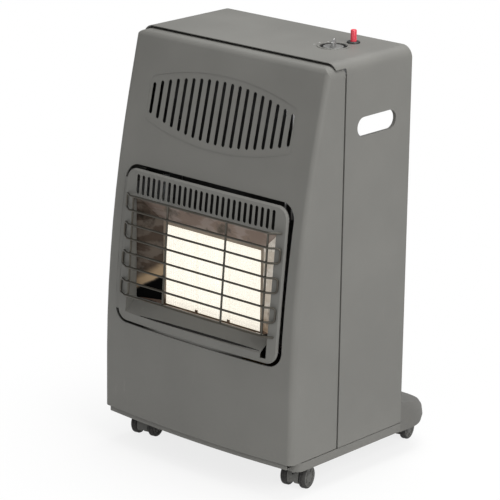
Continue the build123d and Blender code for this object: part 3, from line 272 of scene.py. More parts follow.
# coated and moulded finishes; the grain is a number to the metre and a strength
coatedFinishes = {
    "greyPaint": {"color": (0.148, 0.146, 0.135), "rough": 0.47, "specular": 0.4, "grain": (950, 0.16)},
    "basePaint": {"color": (0.14, 0.138, 0.128), "rough": 0.5, "specular": 0.4, "grain": (950, 0.16)},
    "housingPlastic": {"color": (0.12, 0.118, 0.11), "rough": 0.55, "specular": 0.35, "grain": (700, 0.25)},
    "blackPlastic": {"color": (0.018, 0.018, 0.018), "rough": 0.42, "specular": 0.45, "grain": (800, 0.15)},
    "wheelPlastic": {"color": (0.085, 0.085, 0.08), "rough": 0.5, "specular": 0.4, "grain": (600, 0.2)},
    "tyreBlack": {"color": (0.022, 0.022, 0.022), "rough": 0.6, "specular": 0.35, "grain": (500, 0.3)},
    "hoodPlastic": {"color": (0.11, 0.11, 0.103), "rough": 0.5, "specular": 0.4, "grain": (600, 0.2)},
    "glossBlack": {"color": (0.012, 0.012, 0.012), "rough": 0.2, "specular": 0.5, "grain": (300, 0.03)},
    "redPlastic": {"color": (0.64, 0.05, 0.075), "rough": 0.25, "specular": 0.5, "grain": (250, 0.03)},
    "whiteCeramic": {"color": (0.8, 0.78, 0.74), "rough": 0.25, "specular": 0.5, "grain": (300, 0.04)},
    "whiteInk": {"color": (0.62, 0.62, 0.6), "rough": 0.5, "specular": 0.4, "grain": (500, 0.05)},
    "knobDark": {"color": (0.15, 0.15, 0.145), "rough": 0.35, "specular": 0.5, "grain": (500, 0.08)},
}
# how far each effect shows on a coat; specks and scuffs have a share and a tone
coatEffect = {
    "cloudTones": (0.94, 1.06), "cloudRough": 0.06,
    "speckle": (0.18, 1.5), "scuff": (0.22, 1.9),
    "dust": 0.2, "dustColor": (0.30, 0.28, 0.25), "dustRough": 0.25,
    "grainDepth": 0.0006,
}


def coatedMaterial(name, spec):
    material, tree, shader, where = startMaterial(name)
    grainScale, grainStrength = spec["grain"]
    grain = useGroup(tree, grainGroup, where, Scale=grainScale)
    wear = useGroup(tree, wearGroup, where)
    darker, paler = [scaled(spec["color"], tone) for tone in coatEffect["cloudTones"]]
    color = mixOf(tree, wear["Cloud"], darker, paler)
    for mask, effect in ((grain["Speckle"], "speckle"), (wear["Scuff"], "scuff")):
        share, tone = coatEffect[effect]
        color = laidOver(tree, color, mask, share, scaled(spec["color"], tone))
    color = laidOver(tree, color, wear["Dust"], coatEffect["dust"], coatEffect["dustColor"])
    rough = addedTo(tree, spec["rough"], wear["Cloud"], coatEffect["cloudRough"])
    rough = addedTo(tree, rough, wear["Dust"], coatEffect["dustRough"], clamp=True)
    surfaceInto(tree, shader, color, rough)
    shader.inputs["Specular IOR Level"].default_value = spec["specular"]
    bumpInto(tree, shader, grain["Height"], grainStrength, coatEffect["grainDepth"])
    return material


# bare metals; the stretch draws their lines out along the axis with the small number
metalFinishes = {
    "guardWire": {
        "color": (0.105, 0.1, 0.086), "stain": (0.075, 0.062, 0.048), "rough": 0.4, "stretch": (0.08, 1, 1)},
    "platedSheet": {
        "color": (0.56, 0.57, 0.57), "stain": (0.4, 0.41, 0.42), "rough": 0.42, "stretch": (1, 1, 0.05)},
    "heatedSteel": {
        "color": (0.34, 0.29, 0.23), "stain": (0.14, 0.09, 0.06), "rough": 0.45, "stretch": (0.06, 1, 1)},
    "brass": {
        "color": (0.72, 0.54, 0.26), "stain": (0.42, 0.28, 0.12), "rough": 0.32, "stretch": (1, 0.1, 1)},
    "castAluminium": {
        "color": (0.6, 0.6, 0.6), "stain": (0.42, 0.42, 0.42), "rough": 0.55, "stretch": (1, 1, 1)},
    "pipeAluminium": {
        "color": (0.74, 0.74, 0.74), "stain": (0.55, 0.55, 0.54), "rough": 0.34, "stretch": (1, 1, 0.06)},
    "axleSteel": {
        "color": (0.16, 0.16, 0.155), "stain": (0.1, 0.09, 0.08), "rough": 0.4, "stretch": (1, 1, 0.2)},
    "platedPins": {
        "color": (0.62, 0.62, 0.6), "stain": (0.38, 0.36, 0.32), "rough": 0.3, "stretch": (1, 1, 0.2)},
    "knobSilver": {
        "color": (0.6, 0.6, 0.59), "stain": (0.4, 0.4, 0.4), "rough": 0.26, "stretch": (1, 0.08, 1)},
}
metalEffect = {
    "stain": 0.5, "line": 0.25, "lineTone": 1.15,
    "smoother": 0.08, "lineRough": 0.16, "stainRough": 0.08,
    "bump": (0.12, 0.0003),
}


def metalMaterial(name, spec):
    material, tree, shader, where = startMaterial(name)
    drawn = useGroup(tree, drawnGroup, where, Stretch=spec["stretch"])
    color = laidOver(tree, spec["color"], drawn["Blotch"], metalEffect["stain"], spec["stain"])
    paler = scaled(spec["color"], metalEffect["lineTone"])
    color = laidOver(tree, color, drawn["Lines"], metalEffect["line"], paler)
    rough = addedTo(tree, spec["rough"] - metalEffect["smoother"], drawn["Lines"], metalEffect["lineRough"])
    rough = addedTo(tree, rough, drawn["Blotch"], metalEffect["stainRough"], clamp=True)
    surfaceInto(tree, shader, color, rough)
    shader.inputs["Metallic"].default_value = 1.0
    bumpInto(tree, shader, drawn["Lines"], *metalEffect["bump"])
    return material


# ceramic with a painted glow, pierced with rows of small bores; the glow is painted light, dimmer in random
# patches, with painted shade in the bores and where two plaques meet
plaqueFinish = {
    "glow": (0.8, 0.765, 0.68), "strength": 0.8, "clay": (0.7, 0.66, 0.58),
    "bores": 620.0, "boreFade": (0.22, 0.36), "borePaintedShadeClay": 0.72, "borePaintedShadeGlow": 0.86, "boreRough": (0.75, 0.95),
    "glowPatchNoise": (26.0, 3.0, 0.5), "glowPatchFade": (0.3, 0.7), "glowPatchRange": (0.86, 1.0), "dimPatchGlow": 0.8,
    "seam": 0.0358, "seamFade": (0.0008, 0.002), "seamPaintedShadeGlow": 0.78,  # darker where two plaques meet
    "bump": (0.4, 0.0005),
}


def plaqueMaterial():
    material, tree, shader, where = startMaterial("ceramicPaintedGlow")
    clay, paintedGlowColor = plaqueFinish["clay"], plaqueFinish["glow"]
    bores = addNode(tree, "ShaderNodeTexVoronoi", {"Scale": plaqueFinish["bores"], "Randomness": 0.0})
    tree.links.new(where, bores.inputs["Vector"])
    hole = rangeOf(tree, bores.outputs["Distance"], plaqueFinish["boreFade"], falling)
    # painted shade: the clay is darker in the bores
    color = mixOf(tree, hole, clay, scaled(clay, plaqueFinish["borePaintedShadeClay"]))
    rough = rangeOf(tree, hole, (0.0, 1.0), plaqueFinish["boreRough"])
    surfaceInto(tree, shader, color, rough)
    # painted light: the plaques glow with no lamp in them, dimmer in random patches and, as painted shade, in
    # the bores
    glowPatches = noiseOf(tree, where, plaqueFinish["glowPatchNoise"])
    glowPatches = rangeOf(tree, glowPatches, plaqueFinish["glowPatchFade"], plaqueFinish["glowPatchRange"])
    glow = mixOf(tree, hole, paintedGlowColor, scaled(paintedGlowColor, plaqueFinish["borePaintedShadeGlow"]))
    glow = mixOf(tree, glowPatches, scaled(paintedGlowColor, plaqueFinish["dimPatchGlow"]), glow)
    # painted shade dims the glow in the seams where two plaques meet
    across = mathOf(tree, "ABSOLUTE", axesOf(tree, where)["X"])
    aside = mathOf(tree, "ABSOLUTE", mathOf(tree, "SUBTRACT", across, plaqueFinish["seam"]))
    clear = rangeOf(tree, aside, plaqueFinish["seamFade"])
    glow = mixOf(tree, clear, scaled(paintedGlowColor, plaqueFinish["seamPaintedShadeGlow"]), glow)
    tree.links.new(glow, shader.inputs["Emission Color"])
    shader.inputs["Emission Strength"].default_value = plaqueFinish["strength"]
    bumpInto(tree, shader, mathOf(tree, "SUBTRACT", 1.0, hole), *plaqueFinish["bump"])
    return material


# bright steel with a burner tint, darker in slanting bands; the right reflector's copy is paler as painted
# light, the left one's darker as painted shade
reflectorFinishes = {
    "reflectorSteel": {"bright": (0.38, 0.31, 0.27), "straw": (0.3, 0.23, 0.19),
                       "deep": (0.12, 0.1, 0.08), "rough": 0.26, "paintedShade": False},
    # painted light: the right reflector's copy of the steel is paler, as if lit
    "reflectorPaintedLight": {"bright": (0.86, 0.8, 0.72), "straw": (0.74, 0.66, 0.56),
                        "deep": (0.4, 0.34, 0.28), "rough": 0.2, "paintedShade": False},
    # painted shade: the left reflector's copy of the steel is darker, as if in shade
    "reflectorPaintedShade": {"bright": (0.12, 0.098, 0.08), "straw": (0.07, 0.052, 0.04),
                        "deep": (0.018, 0.016, 0.013), "rough": 0.3, "paintedShade": True},
}
tintEffect = {
    "stretch": (1.0, 1.0, 0.08), "lineRough": 0.2, "bump": (0.3, 0.002),
    "cloudNoise": (22.0, 4.0, 0.6), "cloudStretch": (0.6, 1.0, 1.6),
    "bands": 130.0, "bandWander": 15.0, "bandFade": (-0.4, 0.8),
    "deepNoise": (30.0, 4.0, 0.6), "deepFade": (0.50, 0.70),
}
# painted shade on the left reflector: black under a line that rises to the burner,
# with a golden band just over it; the fades are metres above that line
paintedShadeLine = {
    "rise": 0.614, "level": 0.3745, "ragged": 0.012, "rough": 0.4,
    "gold": (0.36, 0.26, 0.16), "goldStart": (0.004, 0.010), "goldEnd": (0.018, 0.034),
    "black": (0.006, 0.006, 0.006), "blackEnd": (0.002, 0.009),
}


def reflectorMaterial(name, spec):
    material, tree, shader, where = startMaterial(name)
    drawn = useGroup(tree, drawnGroup, where, Stretch=tintEffect["stretch"])
    axes = axesOf(tree, where)
    level = mathOf(tree, "SUBTRACT", axes["Z"], mathOf(tree, "MULTIPLY", axes["X"], paintedShadeLine["rise"]))
    level = mathOf(tree, "SUBTRACT", level, paintedShadeLine["level"])
    cloud = noiseOf(tree, where, tintEffect["cloudNoise"], tintEffect["cloudStretch"])
    swing = mathOf(tree, "MULTIPLY", level, tintEffect["bands"])
    swing = addedTo(tree, swing, cloud, tintEffect["bandWander"])
    bands = rangeOf(tree, mathOf(tree, "SINE", swing), tintEffect["bandFade"])
    color = mixOf(tree, bands, spec["straw"], spec["bright"])
    deep = rangeOf(tree, noiseOf(tree, where, tintEffect["deepNoise"]), tintEffect["deepFade"])
    color = mixOf(tree, deep, color, spec["deep"])
    rough = addedTo(tree, spec["rough"], drawn["Lines"], tintEffect["lineRough"])
    # painted shade: the left reflector is blackened under the line
    if spec["paintedShade"]:
        height = addedTo(tree, level, cloud, paintedShadeLine["ragged"])
        risen = rangeOf(tree, height, paintedShadeLine["goldStart"])
        gold = mathOf(tree, "MULTIPLY", risen, rangeOf(tree, height, paintedShadeLine["goldEnd"], falling))
        color = mixOf(tree, gold, color, paintedShadeLine["gold"])
        black = rangeOf(tree, height, paintedShadeLine["blackEnd"], falling)
        color = mixOf(tree, black, color, paintedShadeLine["black"])
        rough = addedTo(tree, rough, black, paintedShadeLine["rough"], clamp=True)
    surfaceInto(tree, shader, color, rough)
    shader.inputs["Metallic"].default_value = 1.0
    bumpInto(tree, shader, cloud, *tintEffect["bump"])
    return material


# spangled sheet, blackened in patches by painted shade on the side that faces the burner
paintedShadeSheetFinish = {
    "sheet": (0.42, 0.43, 0.43), "spangles": 95.0, "spangleTones": (0.88, 1.08),
    "stretch": (1.0, 1.0, 0.05), "stain": 0.2, "stainTone": 0.7,
    "paintedShade": (0.010, 0.010, 0.009), "roughRange": (0.45, 0.9), "frontFade": (-0.6, 0.2),
    "patchNoise": (18.0, 4.0, 0.5), "patchFade": (0.2, 0.6), "patchRange": (0.9, 1.0),
    "bump": (0.1, 0.0003),
}


def paintedShadeSheetMaterial():
    material, tree, shader, where = startMaterial("sheetWithPaintedShade")
    drawn = useGroup(tree, drawnGroup, where, Stretch=paintedShadeSheetFinish["stretch"])
    # painted shade: faces that point to the front are blackened in patches
    facingWay = axesOf(tree, addNode(tree, "ShaderNodeTexCoord").outputs["Normal"])["Y"]
    front = rangeOf(tree, facingWay, paintedShadeSheetFinish["frontFade"], falling)
    patchy = noiseOf(tree, where, paintedShadeSheetFinish["patchNoise"])
    patchy = rangeOf(tree, patchy, paintedShadeSheetFinish["patchFade"], paintedShadeSheetFinish["patchRange"])
    paintedShade = mathOf(tree, "MULTIPLY", front, patchy, clamp=True)
    spangle = addNode(tree, "ShaderNodeTexVoronoi", {"Scale": paintedShadeSheetFinish["spangles"]})
    tree.links.new(where, spangle.inputs["Vector"])
    tone = addNode(tree, "ShaderNodeSeparateColor")
    tree.links.new(spangle.outputs["Color"], tone.inputs["Color"])
    darker, paler = [scaled(paintedShadeSheetFinish["sheet"], share) for share in paintedShadeSheetFinish["spangleTones"]]
    sheet = mixOf(tree, tone.outputs["Red"], darker, paler)
    stained = scaled(paintedShadeSheetFinish["sheet"], paintedShadeSheetFinish["stainTone"])
    sheet = laidOver(tree, sheet, drawn["Blotch"], paintedShadeSheetFinish["stain"], stained)
    tree.links.new(rangeOf(tree, paintedShade, (0.0, 1.0), falling), shader.inputs["Metallic"])
    rough = rangeOf(tree, paintedShade, (0.0, 1.0), paintedShadeSheetFinish["roughRange"])
    surfaceInto(tree, shader, mixOf(tree, paintedShade, sheet, paintedShadeSheetFinish["paintedShade"]), rough)
    bumpInto(tree, shader, drawn["Lines"], *paintedShadeSheetFinish["bump"])
    return material


finishes = {name: coatedMaterial(name, spec) for name, spec in coatedFinishes.items()}
finishes.update({name: metalMaterial(name, spec) for name, spec in metalFinishes.items()})
finishes["ceramicPaintedGlow"] = plaqueMaterial()
finishes.update({name: reflectorMaterial(name, spec) for name, spec in reflectorFinishes.items()})
finishes["sheetWithPaintedShade"] = paintedShadeSheetMaterial()

# the finish of each slot, and the nodes with one of their own, by how their names start
finishOfSlot = {
    "grey_paint": "greyPaint", "base_paint": "basePaint", "dark_plastic": "housingPlastic",
    "glowing_ceramic": "ceramicPaintedGlow", "heated_steel": "heatedSteel", "reflector_steel": "reflectorSteel",
    "plated_wire": "guardWire", "plated_sheet": "platedSheet", "brass": "brass",
    "cast_aluminium": "castAluminium", "pipe_aluminium": "pipeAluminium", "black_plastic": "blackPlastic",
    "wheel_plastic": "wheelPlastic", "plated_pins": "platedPins", "gloss_black": "glossBlack",
    "knob_silver": "knobSilver", "red_plastic": "redPlastic", "white_ceramic": "whiteCeramic",
}
finishOfNode = {
    "heat_shield": "sheetWithPaintedShade", "top_baffle": "sheetWithPaintedShade", "reflector_left": "reflectorPaintedShade",
    "reflector_right": "reflectorPaintedLight", "castor_body": "hoodPlastic", "castor_pins": "axleSteel",
}


def dressNodes():
    for name, node in nodes.items():
        finish = finishOfSlot[slotOf[name]]
        for start, ownFinish in finishOfNode.items():
            if name.startswith(start):
                finish = ownFinish
        node.data.materials.clear()
        node.data.materials.append(finishes[finish])


dressNodes()
print("finishes made:", len(finishes))

# modelling helpers; profiles and sizes are in millimetres
mm = 0.001


def turned(profile, steps, closed=False):
    # a half profile of (radius, height), spun once round Z
    shape = bmesh.new()
    ring = [shape.verts.new((radius * mm, 0.0, height * mm)) for radius, height in profile]
    pairs = list(zip(ring, ring[1:])) + ([(ring[-1], ring[0])] if closed else [])
    edges = [shape.edges.new(pair) for pair in pairs]
    bmesh.ops.spin(shape, geom=ring + edges, cent=(0, 0, 0), axis=(0, 0, 1), angle=2 * math.pi,
                   steps=steps, use_merge=True)
    bmesh.ops.remove_doubles(shape, verts=shape.verts, dist=1e-6)
    bmesh.ops.recalc_face_normals(shape, faces=shape.faces)
    return shape


def rounded(shape, edges, width, segments=2):
    bmesh.ops.bevel(shape, geom=edges, offset=width * mm, affect="EDGES", segments=segments,
                    profile=0.5, material=-1, clamp_overlap=True)


def boxed(size, place=(0, 0, 0), bevel=0.0):
    # a bar with its edges rounded
    shape = bmesh.new()
    bmesh.ops.create_cube(shape, size=1.0)
    bmesh.ops.scale(shape, vec=[side * mm for side in size], verts=shape.verts)
    if bevel:
        rounded(shape, list(shape.edges), bevel)
    bmesh.ops.translate(shape, vec=[part * mm for part in place], verts=shape.verts)
    return shape


def longEdges(shape, axis, length):
    # the edges that run along a bar of this length
    return [edge for edge in shape.edges
            if abs(edge.verts[0].co[axis] - edge.verts[1].co[axis]) > length / 2 * mm]


def cutAcross(shape, axis, length, cuts):
    # gives a bar the rings of vertices that it bends at
    bmesh.ops.subdivide_edges(shape, edges=longEdges(shape, axis, length), cuts=cuts, use_grid_fill=True)


def hexagonal(acrossFlats, height, bevel=0.5):
    # a nut blank that stands on Z = 0
    shape = bmesh.new()
    radius = acrossFlats / math.sqrt(3.0) * mm
    bmesh.ops.create_cone(shape, cap_ends=True, segments=6, radius1=radius, radius2=radius, depth=height * mm)
    bmesh.ops.translate(shape, vec=(0, 0, height / 2 * mm), verts=shape.verts)
    rounded(shape, list(shape.edges), bevel)
    return shape


def joined(target, *others):
    # copy the other shapes into the first
    for other in others:
        spare = bpy.data.meshes.new("spareShape")
        other.to_mesh(spare)
        other.free()
        target.from_mesh(spare)
        bpy.data.meshes.remove(spare)
    return target


def placed(shape, place):
    bmesh.ops.transform(shape, matrix=place, verts=shape.verts)
    return shape


def finished(shape, name, finish, body, place=None, replaced=(), crease=38.0):
    if place is not None:
        placed(shape, place)
    mesh = bpy.data.meshes.new(name)
    shape.to_mesh(mesh)
    shape.free()
    mesh.shade_smooth()
    mesh.set_sharp_from_angle(angle=math.radians(crease))
    piece = bpy.data.objects.new(name, mesh)
    bpy.context.scene.collection.objects.link(piece)
    mesh.materials.append(finishes[finish])
    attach(piece, body)
    if replaced:
        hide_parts(*replaced)


def standing(x, y, z, turn=0.0):
    return Matrix.Translation((x * mm, y * mm, z * mm)) @ Matrix.Rotation(math.radians(turn), 4, "Z")


def facing(place, way, spin=0.0):
    # local Z turned to point the given way
    move = Matrix.Translation([part * mm for part in place])
    turn = Vector((0, 0, 1)).rotation_difference(Vector(way)).to_matrix().to_4x4()
    return move @ turn @ Matrix.Rotation(math.radians(spin), 4, "Z")


# castor wheels: tyre with a groove, dished face with pockets, hub
wheelShape = {
    "radius": 19.5, "half": 6.0, "steps": 60,
    "out": 17.0,  # from the middle of the axle to the middle of a wheel
    "pockets": 6, "pocketFrom": 9.0, "pocketTo": 12.5, "pocketShare": 0.38,
    "pocketRim": 0.5, "pocketSlope": 0.3, "pocketDepth": 1.1,
}


def wheelDisc():
    radius, half = wheelShape["radius"], wheelShape["half"]
    shape = turned([
        (0.0, half - 0.9), (2.6, half - 0.9), (2.6, -half + 0.6), (radius - 3.0, -half + 0.6),
        (radius - 2.4, -half + 1.0), (radius - 2.4, half - 1.4), (radius - 3.2, half - 0.2),
        (radius - 4.2, half - 0.2), (radius - 5.6, half - 1.3), (8.0, half - 0.9), (7.0, half - 0.3),
        (6.2, half), (4.2, half), (3.6, half - 0.3), (0.0, half - 0.3)], wheelShape["steps"])
    sector = 2 * math.pi / wheelShape["pockets"]
    for index in range(wheelShape["pockets"]):
        pocket = []
        for face in shape.faces:
            middle = face.calc_center_median()
            reach = math.hypot(middle.x, middle.y) / mm
            angle = (math.atan2(middle.y, middle.x) - index * sector + math.pi) % (2 * math.pi) - math.pi
            inRing = wheelShape["pocketFrom"] < reach < wheelShape["pocketTo"] and face.normal.z > 0.5
            if inRing and abs(angle) < sector * wheelShape["pocketShare"]:
                pocket.append(face)
        bmesh.ops.inset_region(shape, faces=pocket, thickness=wheelShape["pocketRim"] * mm, depth=0.0)
        bmesh.ops.inset_region(shape, faces=pocket, thickness=wheelShape["pocketSlope"] * mm,
                               depth=-wheelShape["pocketDepth"] * mm)
    return shape


def wheelTyre():
    radius, half = wheelShape["radius"], wheelShape["half"]
    return turned([
        (radius - 2.5, -half + 0.9), (radius - 1.6, -half + 0.6), (radius - 0.5, -half + 1.2),
        (radius, -half + 2.2), (radius, -1.3), (radius - 0.5, -0.9), (radius - 0.5, 0.3), (radius, 0.7),
        (radius, half - 3.0), (radius - 0.6, half - 1.5), (radius - 1.8, half - 0.5),
        (radius - 2.5, half - 0.5)], wheelShape["steps"], closed=True)


def castorWheel(name, joint):
    low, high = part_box(name)
    middle = (Vector(low) + Vector(high)) / 2
    centre, axis = Vector(joint["pos_m"]), Vector(joint["axis"]).normalized()
    side = 1 if (middle - centre).dot(axis) > 0 else -1
    place = facing((centre + axis * side * wheelShape["out"] * mm) / mm, axis * side)
    finished(wheelDisc(), name + "_disc", "wheelPlastic", joint["child"], place, (name,))
    finished(wheelTyre(), name + "_tyre", "tyreBlack", joint["child"], place)


rollJoints = [joint for joint in frame["record"]["behaviour"]["joints"] if joint["name"].startswith("roll_")]
for rollJoint in rollJoints:
    castorWheel("castor_" + rollJoint["child"], rollJoint)
print("castor wheels made:", len(rollJoints))

# knob: skirt with finger flutes, a bar across it with a silver cap, and its pointer
knobShape = {
    "x": 121.0, "y": -1.5, "foot": 705.3, "turn": 35.0,
    "skirtRadius": 17.0, "skirtHeight": 6.0, "steps": 72, "flutes": 24, "fluteDepth": 0.022,
    "barWidth": 8.0, "barLength": 32.0, "barHeight": 10.0, "barSink": 1.0,
    "barTop": (0.72, 0.94, 1.0), "cornerRound": 2.6, "lidRound": 1.2,
    "capShare": (0.62, 0.9), "capThick": 1.6, "capSink": 0.5, "capRound": 0.5,
    "pointer": (1.2, 9.0, 0.5), "pointerReach": 10.0, "pointerLift": 0.35, "pointerRound": 0.15,
}


def knobSkirt():
    radius, height = knobShape["skirtRadius"], knobShape["skirtHeight"]
    shape = turned([
        (3.0, 0.0), (radius - 0.6, 0.0), (radius, 0.6), (radius, height - 1.4), (radius - 0.5, height - 0.4),
        (radius - 1.5, height), (radius - 3.2, height), (radius - 3.8, height - 0.5), (6.0, height - 0.7),
        (3.0, height - 0.7)], knobShape["steps"], closed=True)
    for vert in shape.verts:
        reach = math.hypot(vert.co.x, vert.co.y)
        if reach > (radius - 0.2) * mm:  # only the outer wall is fluted
            angle = math.atan2(vert.co.y, vert.co.x)
            dip = 1.0 - knobShape["fluteDepth"] * max(0.0, math.cos(angle * knobShape["flutes"]))
            vert.co.x *= dip
            vert.co.y *= dip
    return shape


def knobBar():
    width, length, height = knobShape["barWidth"], knobShape["barLength"], knobShape["barHeight"]
    shape = boxed((width, length, height), (0, 0, height / 2))
    top = [vert for vert in shape.verts if vert.co.z > height / 2 * mm]
    bmesh.ops.scale(shape, vec=knobShape["barTop"], verts=top)
    rounded(shape, longEdges(shape, 2, height), knobShape["cornerRound"], 4)
    lid = [edge for edge in shape.edges if min(vert.co.z for vert in edge.verts) > (height - 0.1) * mm]
    rounded(shape, lid, knobShape["lidRound"], 3)
    return shape


def makeKnob():
    place = standing(knobShape["x"], knobShape["y"], knobShape["foot"], knobShape["turn"])
    finished(knobSkirt(), "knob_skirt", "knobDark", "control_knob", place, ("control_knob",))
    place = place @ Matrix.Translation((0, 0, (knobShape["skirtHeight"] - knobShape["barSink"]) * mm))
    finished(knobBar(), "knob_bar", "knobDark", "control_knob", place)
    height, (widthShare, lengthShare) = knobShape["barHeight"], knobShape["capShare"]
    width, length = knobShape["barWidth"] * widthShare, knobShape["barLength"] * lengthShare
    capSize, capPlace = (width, length, knobShape["capThick"]), (0, 0, height - knobShape["capSink"])
    cap = boxed(capSize, capPlace, knobShape["capRound"])
    finished(cap, "knob_cap", "knobSilver", "control_knob", place)
    pointerPlace = (0, knobShape["pointerReach"], height + knobShape["pointerLift"])
    pointer = boxed(knobShape["pointer"], pointerPlace, knobShape["pointerRound"])
    finished(pointer, "knob_pointer", "whiteInk", "control_knob", place)


makeKnob()

# dish under the knob: grey pressed rim, black cup, and plain numbers on the panel beside it
dishShape = {
    "radius": 27.0, "top": 711.0, "floor": 699.0, "steps": 72,
    "numbers": {"1": -112.0, "2": -84.0, "3": -56.0},  # degrees from the back
    "numberSize": 5.5, "numberReach": 32.5, "numberThick": 0.08,
}


def dishRim():
    radius = dishShape["radius"]
    return turned([
        (radius, 0.0), (radius - 0.2, 0.9), (radius - 1.0, 1.4), (radius - 2.6, 1.4), (radius - 3.6, 0.9),
        (radius - 4.2, -0.4), (radius - 4.9, -0.4), (radius - 4.9, 0.0)], dishShape["steps"], closed=True)


def dishCup():
    radius, floor = dishShape["radius"], dishShape["floor"] - dishShape["top"]
    return turned([
        (radius - 4.1, 0.2), (radius - 4.6, -0.2), (radius - 8.0, floor + 2.6), (radius - 8.9, floor + 1.6),
        (radius - 10.0, floor + 1.5), (5.2, floor + 1.5), (4.5, floor + 1.0), (4.5, floor),
        (radius - 8.2, floor), (radius - 7.4, floor + 0.8), (radius - 4.5, -0.6), (radius - 4.1, -0.4)],
        dishShape["steps"], closed=True)


def dialNumber(text, angle):
    curve = bpy.data.curves.new("dialNumber" + text, "FONT")
    curve.body = text
    curve.size = dishShape["numberSize"] * mm
    curve.align_x = "CENTER"
    curve.align_y = "CENTER"
    curve.extrude = dishShape["numberThick"] * mm
    holder = bpy.data.objects.new("dialNumber" + text, curve)
    shape = bmesh.new()
    mesh = bpy.data.meshes.new_from_object(holder)
    shape.from_mesh(mesh)
    bpy.data.objects.remove(holder)
    bpy.data.meshes.remove(mesh)
    bpy.data.curves.remove(curve)
    x = knobShape["x"] + dishShape["numberReach"] * math.sin(math.radians(angle))
    y = knobShape["y"] + dishShape["numberReach"] * math.cos(math.radians(angle))
    finished(shape, "dial_number_" + text, "whiteInk", "cabinet",
             standing(x, y, dishShape["top"] + dishShape["numberThick"]))


def makeDish():
    place = standing(knobShape["x"], knobShape["y"], dishShape["top"])
    finished(dishRim(), "dish_rim", "greyPaint", "cabinet", place)
    finished(dishCup(), "dish_cup", "glossBlack", "cabinet", place, ("control_dish",))
    for text, angle in dishShape["numbers"].items():
        dialNumber(text, angle)


makeDish()

# igniter: collar with a rolled edge, long red button
igniterShape = {
    "x": 128.0, "y": 40.5, "top": 711.0,
    "collarRadius": 11.0, "collarSteps": 64,
    "buttonRadius": 5.0, "buttonSteps": 48, "below": 12.0, "above": 22.0,
}


def igniterCollar():
    ring, stem = igniterShape["collarRadius"], igniterShape["buttonRadius"]
    return turned([
        (stem + 0.3, 0.0), (ring, 0.0), (ring, 1.2), (ring - 0.5, 2.2), (ring - 1.6, 2.8), (ring - 3.2, 3.0),
        (stem + 1.2, 3.0), (stem + 0.6, 2.6), (stem + 0.3, 2.0)], igniterShape["collarSteps"], closed=True)


def igniterButton():
    stem, foot, top = igniterShape["buttonRadius"], -igniterShape["below"], igniterShape["above"]
    return turned([
        (0.0, foot), (stem, foot), (stem, top - 1.4), (stem - 0.4, top - 0.6), (stem - 1.2, top - 0.15),
        (stem - 2.2, top - 0.2), (stem - 3.0, top - 0.5), (0.0, top - 0.7)], igniterShape["buttonSteps"])


def makeIgniter():
    place = standing(igniterShape["x"], igniterShape["y"], igniterShape["top"])
    finished(igniterCollar(), "igniter_collar_visual", "blackPlastic", "cabinet",
             place, ("igniter_collar",))
    finished(igniterButton(), "igniter_button_visual", "redPlastic", "igniter_button",
             place, ("igniter_button",))


makeIgniter()
print("controls made")

# panel screws: domed heads with a cross recess
screwShape = {
    "radius": 4.0, "dome": 1.0, "edge": 1.1, "cells": 6,
    "crossWidth": 0.34, "crossReach": 0.67, "recess": 1.1, "recessSlope": 0.12,
    "spins": {-1: (-5.0, 22.5, 50.0), 1: (45.0, 72.5, 100.0)},  # left and right, from the lowest up
}


def screwHead():
    shape = bmesh.new()
    radius = screwShape["radius"] * mm
    bmesh.ops.create_grid(shape, x_segments=screwShape["cells"], y_segments=screwShape["cells"], size=1.0)
    cross = []
    for face in shape.faces:
        middle = face.calc_center_median()
        across, along = sorted((abs(middle.x), abs(middle.y)))
        if across < screwShape["crossWidth"] and along < screwShape["crossReach"]:
            cross.append(face)
    for vert in shape.verts:  # the square grid becomes a round dome
        x, y = vert.co.x, vert.co.y
        vert.co.x = x * math.sqrt(1 - y * y / 2) * radius
        vert.co.y = y * math.sqrt(1 - x * x / 2) * radius
        rise = 1 - min(1.0, vert.co.length / radius) ** 2
        vert.co.z = (screwShape["edge"] + screwShape["dome"] * rise) * mm
    rim = [edge for edge in shape.edges if edge.is_boundary]
    grown = bmesh.ops.extrude_edge_only(shape, edges=rim)
    for vert in (item for item in grown["geom"] if isinstance(item, bmesh.types.BMVert)):
        vert.co.z = 0.0
    bmesh.ops.inset_region(shape, faces=cross, thickness=screwShape["recessSlope"] * mm,
                           depth=-screwShape["recess"] * mm)
    bmesh.ops.recalc_face_normals(shape, faces=shape.faces)
    return shape


def makeScrews():
    low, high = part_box("panel_screws")
    inset = screwShape["radius"] * mm
    heads = []
    for side, spins in screwShape["spins"].items():
        for share, spin in zip((0.0, 0.5, 1.0), spins):
            z = (low[2] + inset) * (1 - share) + (high[2] - inset) * share
            place = facing((side * (high[0] - inset) / mm, low[1] / mm, z / mm), (0, 1, 0), spin)
            heads.append(placed(screwHead(), place))
    finished(joined(*heads), "panel_screws_visual", "platedPins", "cabinet", None,
             ("panel_screws",))


makeScrews()
print("screws made")

# base edge that follows the foot of the front cover: a wall and a shelf behind it
edgeShape = {
    "half": 199.0, "y": -186.0, "low": 54.0, "high": 61.8, "thick": 1.6, "lip": 16.0, "lipInset": 1.0,
    "round": 0.5, "cuts": 23, "bow": 11.0, "reach": 210.0,  # bowed by this much within this half width
}


def bowedBar(half, depth, tall, y, z):
    shape = boxed((2 * half, depth, tall), (0, 0, 0), edgeShape["round"])
    cutAcross(shape, 0, 2 * half, edgeShape["cuts"])
    for vert in shape.verts:
        share = vert.co.x / mm / edgeShape["reach"]
        vert.co.y += (y - edgeShape["bow"] * (1 - share * share)) * mm
        vert.co.z += z * mm
    return shape


